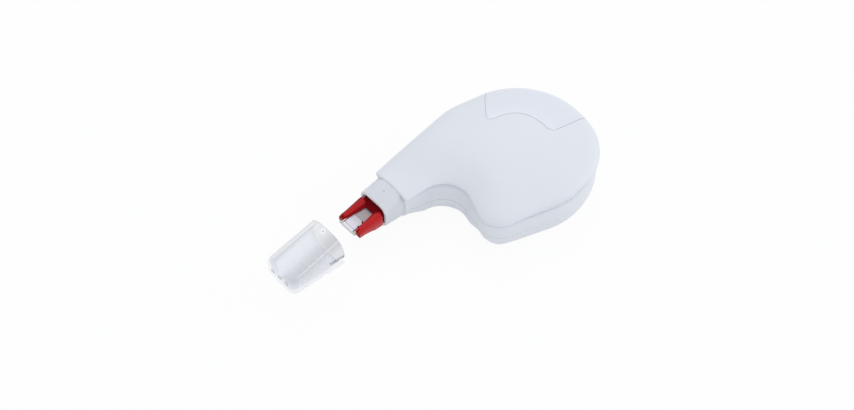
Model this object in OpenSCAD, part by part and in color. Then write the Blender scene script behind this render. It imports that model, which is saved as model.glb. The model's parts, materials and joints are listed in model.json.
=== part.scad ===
// Comma-shaped correction tape roller, lying on its side with its clear cap taken off.
// Origin on the resting face, under the centre of the round end. +X runs from the tip to the
// round end, +Y towards the neck, +Z up. Millimetres.

/* [Case outline] */
// Radius of the round end
lobe_r = 24.1; // [23.5:0.1:27]
// How much tighter the shoulder above the round end is
shoulder_less = 0.9; // [0.5:0.1:2]
// Shoulder centre, ahead of the round end's centre
shoulder_ahead = 7; // [5:0.5:10]
// Shoulder centre, above the round end's centre
shoulder_up = 2.6; // [1.5:0.1:3.5]
// Neck axis, above the round end's centre
neck_y = 15.7; // [15:0.1:16.4]
// End of the neck, ahead of the round end's centre
neck_ahead = 37.2; // [36:0.2:42]
// Half width that the neck narrows to beyond its end
nose_r = 5.1; // [5:0.1:6]
// How far beyond the neck's end that half width lies
nose_past = 15.6; // [12:0.2:20]
// Radius of the hollow for the fingers
grip_r = 8.4; // [7:0.1:9]
// Centre of the finger hollow, ahead of the round end's centre
grip_ahead = 30.9; // [30.5:0.1:33]
// Centre of the finger hollow, below the round end's centre
grip_down = 0.3; // [0:0.1:2]
// Radius of the heel corner
heel_r = 6.8; // [6:0.1:8]
// Centre of the heel corner, ahead of the round end's centre
heel_ahead = 19; // [17:0.2:20]
// Centre of the heel corner, below the round end's centre
heel_down = 11.6; // [10:0.2:13]

/* [Case heights] */
// Height of the case at the crown
case_h = 18; // [17.5:0.1:22]
// Height of the seam between the two shells
seam_z = 7; // [6.4:0.1:7.4]
// Height where the side band ends and its fillet begins
band_z = 10.5; // [9.8:0.1:10.8]
// Height of the groove under the cushion edge
groove_z = 11.8; // [11.4:0.1:12.2]
// Height of the cushion's widest line
cushion_z = 14.2; // [13.6:0.1:14.6]
// Depth of the groove
groove_deep = 1.7; // [1:0.1:2]
// How far the side band stands in from the cushion
band_in = 0.6; // [0.4:0.05:1]
// How far the seam stands in from the cushion
seam_in = 0.45; // [0.2:0.05:0.6]
// Width of the rounded edge, top and bottom
edge_w = 4.5; // [3.5:0.1:4.8]
// Rise of the crown inside the rounded edge
crown = 1; // [0.4:0.1:1.2]
// How far the cushion draws in round the case, except at the rear corner of the round end
tuck = 1; // [0:0.1:1.2]
// How far the wall of the finger hollow leans out at its foot
hollow_lean = 1.8; // [1:0.1:2.2]
// Thickness of the shell walls
wall = 1.3; // [1:0.05:1.5]
// Height of the neck axis
neck_z = 8.6; // [8.4:0.1:9]
// Height of the neck at its end
neck_h = 12.6; // [12.2:0.1:13.4]
// Where the neck begins to thin, ahead of the round end's centre
thin_ahead = 14; // [10:0.5:18]

/* [Cap] */
// Length of the cap
cap_len = 18.4; // [18.3:0.1:22]
// Wall of the cap
cap_wall = 1.1; // [1:0.05:1.2]
// Width of the cap at its mouth
cap_mouth_w = 14.6; // [14.4:0.1:15.2]
// Height of the cap at its mouth
cap_mouth_h = 13.2; // [13:0.1:14]
// Corner radius of the cap at its mouth
cap_mouth_r = 5; // [4.4:0.1:5.6]
// Width of the cap at its closed end
cap_end_w = 12.4; // [12:0.1:13]
// Height of the cap at its closed end
cap_end_h = 8.8; // [8.4:0.1:9.6]
// Corner radius of the cap at its closed end
cap_end_r = 3.1; // [2.6:0.1:3.6]
// Gap between the cap and the collar it slides over
cap_gap = 0.12; // [0.08:0.02:0.2]
// How far the cap's mouth lies ahead of the neck when it is off
cap_off = 24.3; // [20:0.1:40]
// Radius of the vent holes in the closed end
vent_r = 0.55; // [0.4:0.05:0.8]
// Distance between the vent holes
vent_step = 3; // [2:0.1:3.2]
// Length of the pulling notch in the cap's mouth
notch_len = 5; // [2:0.1:6]
// Width of the pulling notch
notch_w = 3.2; // [2:0.1:4]
// How far the middle of the notch lies below the neck axis
notch_down = 0.9; // [0:0.1:1.4]

/* [Nose collar] */
// Length of the collar ahead of the neck
collar_len = 6.8; // [6.4:0.1:7.2]
// Length of the bearing inside the collar, with its tail in the neck
bearing_len = 6.4; // [5.6:0.1:7]
// Depth of the pocket in the collar's mouth
pocket_len = 3.4; // [3:0.1:3.8]
// Wall round the pocket in the collar's mouth
collar_wall = 1; // [0.8:0.05:1.1]
// Radius of the tip's turning journal
journal_r = 3.7; // [3.6:0.05:3.9]
// Wall of the journal
journal_wall = 0.7; // [0.5:0.05:0.8]
// Running clearance of every turning fit
run_fit = 0.05; // [0.03:0.01:0.08]

/* [Tip] */
// How far the tip's arms reach ahead of the collar
arm_reach = 9.5; // [9:0.1:9.6]
// How far the arms stand off from the collar
arm_off = 0.6; // [0.4:0.1:1]
// Half width across the arms beside the collar
arm_base_w = 4.9; // [4.6:0.1:5]
// Half width across the arms at their ends
arm_tip_w = 4.7; // [4.4:0.1:4.8]
// Half of the gap between the arms
arm_gap = 2.8; // [2.6:0.05:2.9]
// Half width of the root that carries the arms in the collar's pocket
root_w = 3.45; // [3.3:0.05:3.5]
// How far the root reaches out of the collar
root_out = 1.7; // [1.4:0.1:2]
// How far the arms reach below the neck axis beside the collar
arm_base_low = 2.6; // [2.2:0.1:2.7]
// How far the arms reach below the neck axis at their ends
arm_tip_low = 1.2; // [0.8:0.1:1.6]
// How far the arms reach above the neck axis beside the collar
arm_base_high = 2.6; // [2.2:0.1:2.7]
// How far the arms reach above the neck axis at their ends
arm_tip_high = 1.6; // [1.4:0.1:1.8]
// Half width between the ridges along the tops of the arms
arm_ridge = 3.4; // [3.2:0.1:3.6]
// Thickness of the clear blade
blade_t = 0.8; // [0.6:0.05:1]
// How far the blade reaches past the arms
blade_past = 1; // [0.9:0.1:1.4]
// Radius of the pressing edge
edge_bar_r = 0.42; // [0.3:0.02:0.5]
// Half width of the pressing edge
edge_bar_w = 3.35; // [3:0.05:3.5]

/* [Tape] */
// Width of the tape
tape_w = 4.2; // [4:0.1:4.4]
// Drawn thickness of a single layer of tape
tape_t = 0.15; // [0.1:0.01:0.2]
// Radius of the full supply roll
roll_r = 13.1; // [12:0.1:13.4]
// Radius of the supply core
supply_core_r = 8.6; // [8:0.1:9.5]
// Radius of the take-up core
takeup_core_r = 5.2; // [4.8:0.1:5.6]
// Depth of used tape on the take-up core
used_deep = 0.5; // [0.3:0.1:2]
// Gap between a run of tape and the turning piece that it leaves
run_gap = 0.2; // [0.15:0.01:0.3]

/* [Drive] */
// Teeth of the drive gear
drive_teeth = 40; // [36:1:44]
// Teeth of the take-up pinion
pinion_teeth = 14; // [13:1:16]
// Clearance between the drive gear and the case
gear_room = 1; // [0.7:0.05:1.4]
// Thickness of the gears
gear_t = 1.8; // [1.4:0.1:2]
// Play between the gear teeth
backlash = 0.16; // [0.1:0.01:0.2]
// Supply axis, behind the round end's centre
supply_back = 4; // [3:0.1:4.5]
// Supply axis, below the round end's centre
supply_down = 2; // [1.5:0.1:2.5]
// Bearing from the supply axis to the take-up axis
takeup_bearing = 141; // [140:0.5:142]
// Radius of the supply post
supply_post_r = 3; // [2.6:0.1:3.4]
// Radius of the take-up post
takeup_post_r = 2; // [1.8:0.1:2.4]
// Radius of the clutch hub on the drive gear
hub_r = 5; // [4.6:0.1:5.3]
// Thickness of the clutch ring
clutch_t = 1; // [0.8:0.1:1.2]
// Outer radius of the guide rollers
roller_r = 1.5; // [1.3:0.05:1.7]
// Radius of the pins that the guide rollers turn on
roller_pin_r = 0.75; // [0.6:0.05:0.85]

/* [Label film] */
// First bearing that the film covers on the round end
film_from = -20; // [-40:1:0]
// Last bearing that the film covers on the round end
film_to = 70; // [40:1:72]
// Thickness of the film above the shell
film_t = 0.12; // [0.08:0.01:0.2]
// Radius left bare inside the film at its first end
film_bare_from = 10.2; // [9:0.1:15]
// Radius left bare inside the film at its last end
film_bare_to = 11; // [9:0.1:15]

/* [Hidden] */
$fn = 48;
hull_sides = 32;
touch = 0.01;
past = 1;

// Pressure angle of the gear teeth
tooth_angle = 25;

// Case plan: five circles in turn, anticlockwise. The finger hollow curves the other way.
neck_x = -neck_ahead;
circles = [
    [0, 0, lobe_r],
    [-shoulder_ahead, shoulder_up, lobe_r - shoulder_less],
    [neck_x - nose_past, neck_y, nose_r],
    [-grip_ahead, -grip_down, -grip_r],
    [-heel_ahead, -heel_down, heel_r]
];
arc_steps = [26, 4, 0, 11, 10];
line_steps = [0, 7, 4, 4, 6];
// Highest point of the crown, in sight of every point of the plan
dome_centre = [-6.5, 11.5];
edge_top_z = case_h - crown;
dome_shares = [0.85, 0.7, 0.55, 0.4, 0.2];
outer_rows = [
    [0, 45],
    [1, 0.5],
    [0, 25, 50, 72, 90],
    dome_shares
];
inner_rows = [
    [0],
    [1],
    [0, 45, 90],
    [0.5]
];
// Bearing of the rear corner that the cushion reaches fully, and the turn to its full tuck
tuck_free = -45;
tuck_from = 8;
tuck_over = 35;
// Depth below the groove over which the finger hollow leans out
lean_drop = 6.7;
outer_base_rows = [0, 30, 50, 70, 90];
inner_base_rows = [0, 45, 90];

// Stack of the reels, up from the gears
core_side = 0.5;
core_low = neck_z - tape_w / 2 - core_side;
core_high = neck_z + tape_w / 2 + core_side;
stack_gap = 0.1;
gear_low = core_low - stack_gap - gear_t;
post_high = core_high + 0.4;
pin_high = core_high + 0.2;
flange_t = 0.4;
core_lip = 0.8;
supply_flange = 2.4;
takeup_flange = 3.6;

// Feet of the posts, and the sockets in their ends
reel_foot = 1.2;
roller_foot = 0.45;
roof_foot = 0.6;
socket_low = neck_z - 0.4;

// Reel axes and gear sizes
supply = [supply_back, -supply_down];
gear_tip_r = lobe_r - norm(supply) - wall - seam_in - gear_room;
gear_module = gear_tip_r / (drive_teeth / 2 + 1);
takeup = supply + gear_module * (drive_teeth + pinion_teeth) / 2 * bearing_of(takeup_bearing);
drive_turn = takeup_bearing;
pinion_turn = takeup_bearing + 180 + 180 / pinion_teeth;
used_r = takeup_core_r + used_deep;

// Guide rollers: one over the finger hollow, one above it across the neck axis
tape_mid = run_gap + tape_t / 2;
roller_room = 0.3;
hollow_bearing = 66;
feed_pin = [-grip_ahead, -grip_down]
    + (grip_r + groove_deep + wall + roller_r + roller_room) * bearing_of(hollow_bearing);
run_high = neck_y - feed_pin.y - roller_r - tape_mid;
return_pin = [feed_pin.x, neck_y + run_high - roller_r - tape_mid];
feed_normal = crossing(feed_pin - supply, roll_r + roller_r + 2 * tape_mid);
return_normal = crossing(takeup - return_pin, used_r + roller_r + 2 * tape_mid);
guide_post_r = 0.7;
guide_post = mix(supply, feed_pin, 0.5)
    + ((roll_r - roller_r) / 2 - tape_mid - guide_post_r) * bearing_of(feed_normal);

// Locating pegs of the two shells: heel and shoulder
peg_r = 1;
peg_post_r = 1.8;
peg_room = 2.4;
peg_places = [
    [-heel_ahead, -heel_down],
    [2 - shoulder_ahead, shoulder_up + lobe_r - shoulder_less - wall - peg_post_r - peg_room]
];
peg_gap = 0.05;
peg_low = seam_z - 1.6;
peg_hole_low = seam_z - 2;

// Nose: collar, journal and tip along the neck axis
mouth_x = neck_x - collar_len;
pocket_x = mouth_x + pocket_len;
bearing_x = pocket_x + bearing_len;
plate_x = pocket_x - 0.4;
plate_t = 1.6;
snap_t = 0.6;
snap_lip = 0.4;
tail_r = journal_r + 0.75;
tail_gap = 0.1;
arm_x = mouth_x - arm_reach;
bar_x = arm_x - blade_past + edge_bar_r;
run_end_x = pocket_x + 0.2;
tip_tape_x = run_end_x - 0.3;
window_room = 0.35;
arm_back_x = mouth_x - arm_off;
root_x = mouth_x - root_out;
root_high = 2.4;
bridge_high = 1.3;
// Inner edges of the arms' slopes, over the sides of the tape
slope_z = 0.8;
slope_base_w = 1.5;
slope_tip_w = 2.2;
dimple_r = 0.5;
dimple_out = 0.25;
dimple_share = 0.4;
blade_mid = blade_t / 2 + tape_t / 2;

// Cap, with its inside shared by the collar
cap_x = neck_x - cap_off;
cap_end_wall = 0.9;
vent_up = 4.4;
notch_low = neck_z - notch_down - notch_w / 2;
cap_inside_len = cap_len - cap_end_wall;
cap_mouth = [cap_mouth_w, cap_mouth_h, cap_mouth_r];
cap_end = [cap_end_w, cap_end_h, cap_end_r];

function bearing_of(a) = [cos(a), sin(a)];
function mix(a, b, t) = a + (b - a) * t;
function ease(t) = let (c = max(0, min(1, t))) c * c * (3 - 2 * c);
function whole_turn(a) = a - 360 * floor(a / 360);

// Bearing of a line's normal that passes two circles on opposite sides
function crossing(way, reach) = atan2(way.y, way.x) + acos(reach / norm(way));

// Case plan: arcs of the circles and the straight lines that touch them in turn
function leave(i) = let (
        a = circles[i],
        b = circles[(i + 1) % len(circles)],
        way = [b.x - a.x, b.y - a.y])
    atan2(way.y, way.x) - acos((a[2] - b[2]) / norm(way));
function arrive(i) = leave((i + len(circles) - 1) % len(circles));
function sweep(i) = circles[i][2] > 0
    ? whole_turn(leave(i) - arrive(i))
    : -whole_turn(arrive(i) - leave(i));
function inset_point(c, a, d) = [c[0], c[1]] + (c[2] - d) * bearing_of(a);
function arc_bearing(i, k) = arrive(i) + sweep(i) * k / arc_steps[i];
function arc_points(i, d) = [
    for (k = [0 : arc_steps[i]])
        inset_point(circles[i], arc_bearing(i, k), d)
];
// Share of the cushion's tuck at a bearing on the round end
function tuck_share(a) =
    ease((abs(whole_turn(a - tuck_free + 180) - 180) - tuck_from) / tuck_over);
function lobe_points(d, tuck_in) = [
    for (k = [0 : arc_steps[0]])
        let (a = arc_bearing(0, k))
            inset_point(circles[0], a, d + tuck_in * tuck_share(a))
];
function line_point(i, d, t) =
    inset_point(mix(circles[i], circles[(i + 1) % len(circles)], t), leave(i), d);
function back_points(d, tuck_in) = [
    for (k = [1 : line_steps[4] - 1])
        let (t = k / line_steps[4])
            line_point(4, d + tuck_in * ease(t), t)
];
// Share of a neck line at which it meets the neck's end
function neck_share(i, d, end_x) = let (a = line_point(i, d, 0).x, b = line_point(i, d, 1).x)
    (end_x - a) / (b - a);
// Neck line towards the shoulder, with the tuck dying out along it
function far_points(d, end_x, tuck_in) = [
    for (k = [1 : line_steps[1]])
        let (t = k / line_steps[1])
            line_point(1, d + tuck_in * ease(1 - t), neck_share(1, d, end_x) * t)
];
// Neck line towards the finger hollow, with the hollow's lean coming in along it
function near_points(d, end_x, lean) = [
    for (k = [0 : line_steps[2] - 1])
        let (t = k / line_steps[2])
            line_point(2, d - lean * ease(t), mix(neck_share(2, d, end_x), 1, t))
];
// Line from the finger hollow to the heel, with the hollow's lean dying out along it
function heel_points(d, lean) = [
    for (k = [1 : line_steps[3] - 1])
        let (t = k / line_steps[3])
            line_point(3, d - lean * ease(1 - t), t)
];
// Whole plan, drawn in by an inset and ended square across the neck
function plan(d, end_x, lean, tuck_in) = concat(
    lobe_points(d, tuck_in), arc_points(1, d + tuck_in),
    far_points(d, end_x, tuck_in), near_points(d, end_x, lean),
    arc_points(3, d - lean), heel_points(d, lean),
    arc_points(4, d), back_points(d, tuck_in)
);

// Heights are squeezed towards the seam and the groove along the neck
function thinning(x) = ease((-thin_ahead - x) / (neck_ahead - thin_ahead));
neck_top_share = (neck_z + neck_h / 2 - groove_z) / (case_h - groove_z);
neck_low_share = (seam_z - neck_z + neck_h / 2) / seam_z;
function height_above(z, x) =
    z <= groove_z ? z : groove_z + (z - groove_z) * mix(1, neck_top_share, thinning(x));
function height_below(z, x) = seam_z - (seam_z - z) * mix(1, neck_low_share, thinning(x));
function lean_at(z) = hollow_lean * max(0, min(1, (groove_z - z) / lean_drop));
function upper_ring(row, w, share = 1) = [
    for (q = plan(row[0], neck_x + w, lean_at(row[1]), tuck * row[2]))
        let (p = mix(dome_centre, q, share))
            [p.x, p.y, height_above(row[1], p.x)]
];
function lower_ring(row, w, share = 1) = [
    for (q = plan(row[0], neck_x + w, lean_at(row[1]), 0))
        let (p = mix(dome_centre, q, share))
            [p.x, p.y, height_below(row[1], p.x)]
];

// Side profiles as [inset, height, share of the tuck], with the wall taken off for the inside
function cushion_edge(a, w) = [
    w + (edge_w - w) * (1 - cos(a)),
    cushion_z + (edge_top_z - w - cushion_z) * sin(a),
    cos(a)
];
function cushion_lip(t, w) = [w + groove_deep * t, mix(cushion_z, groove_z, t), 1 - t];
function band_fillet(a, w) = [
    w + band_in + (groove_deep - band_in) * (1 - cos(a)),
    band_z + (groove_z - band_z) * sin(a),
    0
];
function lower_edge(a, w) = [
    w + seam_in + (edge_w - w - seam_in) * (1 - cos(a)),
    seam_z - (seam_z - w) * sin(a)
];
function dome_row(share, w) = [edge_w, edge_top_z - w + crown * (1 - share * share), 0];
function backwards(list) = [for (i = [len(list) - 1 : -1 : 0]) list[i]];

// Upper shell rings from the seam up over the crown
function upper_side(rows, w) = concat(
    [upper_ring([seam_in + w, seam_z, 0], w)],
    [for (a = rows[0]) upper_ring(band_fillet(a, w), w)],
    [for (t = rows[1]) upper_ring(cushion_lip(t, w), w)],
    [for (a = rows[2]) upper_ring(cushion_edge(a, w), w)],
    [for (s = rows[3]) upper_ring(dome_row(s, w), w, s)]
);
// Lower shell rings from the seam down to the flat base
function lower_side(rows, w) = [for (a = rows) lower_ring(lower_edge(a, w), w)];
function base_rows() = [for (s = dome_shares) lower_ring([edge_w, 0], 0, s)];

// Skin through rings of points, closed by one point at each end
module loft(first, rings, last) {
    n = len(rings[0]);
    m = len(rings);
    end = n * m + 1;
    polyhedron(
        points = concat([first], [for (r = rings) each r], [last]),
        faces = concat(
            [for (j = [0 : n - 1]) [0, 1 + (j + 1) % n, 1 + j]],
            [for (i = [0 : m - 2], j = [0 : n - 1])
                let (a = 1 + i * n, b = a + n, k = (j + 1) % n)
                    each [[a + j, a + k, b + k], [a + j, b + k, b + j]]],
            [for (j = [0 : n - 1]) [end, end - n + j, end - n + (j + 1) % n]]
        )
    );
}

// Bar through square rings of four corners
module ribbon(rings) {
    m = len(rings);
    polyhedron(
        points = [for (r = rings) each r],
        faces = concat(
            [[3, 2, 1, 0]],
            [for (i = [0 : m - 2], j = [0 : 3])
                let (a = 4 * i, b = a + 4, k = (j + 1) % 4)
                    each [[a + j, a + k, b + k], [a + j, b + k, b + j]]],
            [[for (j = [0 : 3]) 4 * (m - 1) + j]]
        )
    );
}
// Corners of a tape section from its middle, width direction and outward direction
function tape_section(p, across, out) = [
    for (c = [[-1, -1], [1, -1], [1, 1], [-1, 1]])
        p + across * c.x * tape_w / 2 + out * c.y * tape_t / 2
];
function upright_tape(p, a, up) =
    tape_section([p.x, p.y, neck_z], [0, 0, up], [cos(a), sin(a), 0]);
function twisted_tape(x, high, roll) = tape_section(
    [x, neck_y + high * cos(roll), neck_z + high * sin(roll)],
    [0, sin(roll), -cos(roll)],
    [0, cos(roll), sin(roll)]
);

// Solid between two grids of points with the same rows and columns
module sheet(top, under) {
    rows = len(top);
    cols = len(top[0]);
    half = rows * cols;
    rim = concat(
        [for (j = [0 : cols - 1]) j],
        [for (i = [1 : rows - 1]) i * cols + cols - 1],
        [for (j = [cols - 2 : -1 : 0]) (rows - 1) * cols + j],
        [for (i = [rows - 2 : -1 : 1]) i * cols]
    );
    polyhedron(
        points = concat([for (r = top) each r], [for (r = under) each r]),
        faces = concat(
            [for (i = [0 : rows - 2], j = [0 : cols - 2])
                let (a = i * cols + j, b = a + cols)
                    each [[a, b + 1, a + 1], [a, b, b + 1]]],
            [for (i = [0 : rows - 2], j = [0 : cols - 2])
                let (a = half + i * cols + j, b = a + cols)
                    each [[a, a + 1, b + 1], [a, b + 1, b]]],
            [for (k = [0 : len(rim) - 1])
                let (a = rim[k], b = rim[(k + 1) % len(rim)])
                    each [[a, b, half + b], [a, half + b, half + a]]]
        )
    );
}

// Spur gear outline with involute flanks, one tooth on +X
function involute(a) = tan(a) * 180 / PI - a;
function flank(teeth, r) = let (
        pitch = gear_module * teeth / 2,
        base = pitch * cos(tooth_angle),
        half = (PI * gear_module / 2 - backlash) / 2 / pitch * 180 / PI)
    half + involute(tooth_angle) - (r > base ? involute(acos(base / r)) : 0);
function tooth_radii(teeth) = let (
        pitch = gear_module * teeth / 2,
        base = pitch * cos(tooth_angle),
        root = pitch - 1.2 * gear_module,
        foot = max(root, base),
        tip = pitch + 0.95 * gear_module)
    concat(root < base ? [root] : [], [for (t = [0, 0.35, 0.7, 1]) mix(foot, tip, t)]);
module gear_plan(teeth) {
    radii = tooth_radii(teeth);
    polygon([
        for (k = [0 : teeth - 1])
            each concat(
                [for (r = radii) r * bearing_of(360 * k / teeth - flank(teeth, r))],
                [for (r = backwards(radii)) r * bearing_of(360 * k / teeth + flank(teeth, r))])
    ]);
}

// Rounded rectangle [width, height, corner radius] across the neck axis at a place along it
module nose_section(x, size, depth) {
    translate([x, neck_y, neck_z])
        rotate([90, 0, 90])
            linear_extrude(depth)
                rounded(size);
}
module rounded(size) {
    in = [size[0] / 2 - size[2], size[1] / 2 - size[2]];
    square([size[0], 2 * in.y], center = true);
    square([2 * in.x, size[1]], center = true);
    for (sx = [-1, 1], sy = [-1, 1])
        translate([sx * in.x, sy * in.y])
            circle(size[2]);
}
module nose_taper(x, size, x_end, size_end) {
    hull($fn = hull_sides) {
        nose_section(x - touch, size, touch);
        nose_section(x_end, size_end, touch);
    }
}
// The cap's section at a share of its length, drawn in by a margin on every side
function cap_section(share, margin) =
    mix(cap_mouth, cap_end, share) - [2 * margin, 2 * margin, margin];
// Cylinder along the neck axis
module nose_round(x, r, depth) {
    translate([x, neck_y, neck_z])
        rotate([0, 90, 0])
            cylinder(r = r, h = depth);
}
module post(place, r, low, high) {
    translate([place.x, place.y, low])
        cylinder(r = r, h = high - low);
}
function floor_inside(place) = height_below(wall / 2, place.x);
function roof_inside(place) = height_above(edge_top_z - wall / 2, place.x);

// Hole in the neck's end wall for the collar's tail
module tail_hole() {
    nose_round(neck_x - past, tail_r + tail_gap, wall + 2 * past);
}

module upper_shell() {
    color("whitesmoke")
        union() {
            difference() {
                loft(
                    [dome_centre.x, dome_centre.y, case_h],
                    concat(backwards(upper_side(outer_rows, 0)), upper_side(inner_rows, wall)),
                    [dome_centre.x, dome_centre.y, case_h - wall]);
                tail_hole();
            }
            roof_post(supply, supply_post_r);
            roof_post(takeup, takeup_post_r);
            for (p = peg_places) {
                post(p, peg_post_r, seam_z, roof_inside(p));
                post(p, peg_r - peg_gap, peg_low, seam_z + touch);
            }
        }
}

// Post under the roof with a peg that enters the reel post below it
module roof_post(place, r) {
    post(place, r + roof_foot, post_high, roof_inside(place));
    post(place, r / 2 - peg_gap, neck_z, post_high + touch);
}

module lower_shell() {
    color("gainsboro")
        difference() {
            union() {
                difference() {
                    loft(
                        [dome_centre.x, dome_centre.y, wall],
                        concat(
                            backwards(lower_side(inner_base_rows, wall)),
                            lower_side(outer_base_rows, 0),
                            base_rows()),
                        [dome_centre.x, dome_centre.y, 0]);
                    tail_hole();
                }
                reel_post(supply, supply_post_r);
                reel_post(takeup, takeup_post_r);
                roller_post(feed_pin);
                roller_post(return_pin);
                post(guide_post, guide_post_r, floor_inside(guide_post), core_high);
                for (p = peg_places)
                    post(p, peg_post_r, floor_inside(p), seam_z);
            }
            post(supply, supply_post_r / 2, socket_low, post_high + past);
            post(takeup, takeup_post_r / 2, socket_low, post_high + past);
            for (p = peg_places)
                post(p, peg_r, peg_hole_low, seam_z + past);
        }
}
// Post with a wider foot up to a step
module stepped_post(place, r, foot, step_z, high) {
    post(place, r + foot, floor_inside(place), step_z);
    post(place, r, step_z - touch, high);
}
module reel_post(place, r) {
    stepped_post(place, r, reel_foot, gear_low - stack_gap, post_high);
}
module roller_post(place) {
    stepped_post(place, roller_pin_r, roller_foot, core_low - stack_gap, pin_high);
}

module nose_collar() {
    color("white")
        difference() {
            union() {
                nose_taper(
                    neck_x, cap_section(0, cap_wall + cap_gap),
                    mouth_x, cap_section(collar_len / cap_len, cap_wall + cap_gap));
                nose_round(neck_x - touch, tail_r, bearing_x - neck_x + touch);
            }
            nose_section(
                mouth_x - past, cap_section(collar_len / cap_len, cap_wall + cap_gap + collar_wall),
                pocket_len + past);
            nose_round(pocket_x - past, journal_r + run_fit, bearing_len + 2 * past);
            translate([mix(neck_x, mouth_x, dimple_share), neck_y, collar_top + dimple_out])
                sphere(dimple_r);
        }
}
collar_top = neck_z + cap_section(dimple_share * collar_len / cap_len, cap_wall + cap_gap)[1] / 2;

module label_film() {
    bearings = [for (k = [0 : film_steps]) mix(film_from, film_to, k / film_steps)];
    rows = concat(
        [for (a = [10, 32, 54, 72, 90]) [cushion_edge(a, 0)[0], cushion_edge(a, 0)[1], a, 0]],
        [for (t = [0.33, 0.66, 1]) [edge_w, edge_top_z, 90, t]]
    );
    color("lavender")
        sheet(
            [for (r = rows) [for (a = bearings) film_point(r, a, film_t)]],
            [for (r = rows) [for (a = bearings) film_point(r, a, -film_sink)]]);
}
film_steps = 14;
film_sink = 0.05;
// Point of the film from its row [inset, height, slope, way in over the crown] and bearing
function film_point(row, a, out) = let (
        along = (a - film_from) / (film_to - film_from),
        bare = mix(film_bare_from, film_bare_to, along) / crown_r,
        drawn_in = (tuck * tuck_share(a) - out) * cos(row[2]),
        p = inset_point(circles[0], a, row[0] + drawn_in) * mix(1, bare, row[3]),
        share = min(1, crown_share(p)))
    [p.x, p.y, row[1] + crown * (1 - share * share) + out * sin(row[2])];
// How far a point lies from the crown's highest point towards the round end's rim
crown_r = lobe_r - edge_w;
function crown_share(p) = let (
        way = p - dome_centre,
        along = dome_centre * way,
        room = crown_r * crown_r - dome_centre * dome_centre)
    way * way / (sqrt(along * along + way * way * room) - along);

module cap() {
    color("azure", 0.5)
        difference() {
            nose_taper(cap_x, cap_section(0, 0), cap_x - cap_len, cap_section(1, 0));
            nose_taper(
                cap_x + touch, cap_section(0, cap_wall),
                cap_x - cap_inside_len, cap_section(cap_inside_len / cap_len, cap_wall));
            for (k = [-1, 0, 1])
                translate([0, k * vent_step, vent_up - cap_end_h / 2])
                    nose_round(cap_x - cap_len - past, vent_r, cap_end_wall + 2 * past);
            translate([cap_x - notch_len, neck_y - cap_mouth_w / 2 - past, notch_low])
                cube([notch_len + past, cap_wall + 2 * past, notch_w]);
        }
}

module tip_holder() {
    color("red")
        difference() {
            union() {
                nose_round(plate_x - touch, journal_r, bearing_x + stack_gap + snap_t - plate_x);
                nose_round(bearing_x + stack_gap, journal_r + snap_lip, snap_t);
                arm_root();
                for (side = [-1, 1])
                    arm(side);
            }
            nose_round(plate_x, journal_r - journal_wall, bearing_x - plate_x + 2 * past);
            arm_window();
        }
}
// Thin slice across the tip, from a list of places across and heights about the neck axis
module tip_slice(x, points, depth = touch) {
    translate([x, neck_y, neck_z])
        rotate([90, 0, 90])
            linear_extrude(depth)
                polygon(points);
}
function box_points(left, right, low, high) =
    [[left, low], [right, low], [right, high], [left, high]];
function one_side(side, points) = [for (p = points) [side * p.x, p.y]];

// Root in the collar's pocket, sloping down to a bridge over the tape
module arm_root() {
    back = box_points(-root_w, root_w, -arm_base_low, root_high);
    front = box_points(-root_w, root_w, -arm_base_low, bridge_high);
    tip_slice(plate_x - plate_t, back, plate_t);
    hull() {
        tip_slice(plate_x - plate_t, back);
        tip_slice(root_x, front);
    }
}
// Arm with an upright outer wall and a slope from its ridge down over the side of the tape
module arm(side) {
    hull() {
        arm_side(side, arm_back_x, arm_base_w, arm_base_low);
        arm_side(side, arm_x, arm_tip_w, arm_tip_low);
    }
    hull() {
        arm_top(side, arm_back_x, arm_base_w, arm_base_high, slope_base_w);
        arm_top(side, arm_x, arm_tip_w, arm_tip_high, slope_tip_w);
    }
}
module arm_side(side, x, w, low) {
    tip_slice(x, one_side(side, box_points(arm_gap, w, -low, slope_z + touch)));
}
module arm_top(side, x, w, high, slope_w) {
    tip_slice(x, one_side(side, [[slope_w, slope_z], [w, slope_z], [w, high], [arm_ridge, high]]));
}
module arm_window() {
    room = blade_t / 2 + window_room;
    tip_slice(root_x - past, box_points(-arm_gap, arm_gap, -room, room), plate_x - root_x + 2 * past);
}

// Side outline of the blade, grown by a margin, from a place along the neck axis to its edge
module blade_side(x, grow) {
    polygon([
        [x, blade_t / 2 + grow],
        [arm_x, blade_t / 2 + grow],
        [bar_x, edge_bar_r + grow],
        [bar_x, -edge_bar_r - grow],
        [arm_x, -blade_t / 2 - grow],
        [x, -blade_t / 2 - grow]
    ]);
    translate([bar_x, 0])
        circle(edge_bar_r + grow);
}
module across_tip(half_w) {
    translate([0, neck_y + half_w, neck_z])
        rotate([90, 0, 0])
            linear_extrude(2 * half_w)
                children();
}
module tip_blade() {
    color("honeydew", 0.6) {
        across_tip(arm_gap)
            blade_side(tip_tape_x, 0);
        across_tip(edge_bar_w)
            translate([bar_x, 0])
                circle(edge_bar_r);
    }
}
module tip_tape() {
    color("gainsboro")
        across_tip(tape_w / 2)
            difference() {
                blade_side(tip_tape_x, tape_t);
                blade_side(tip_tape_x - touch, 0);
                translate([tip_tape_x - past, -blade_t / 2])
                    square([2 * past, blade_t]);
            }
}

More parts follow.
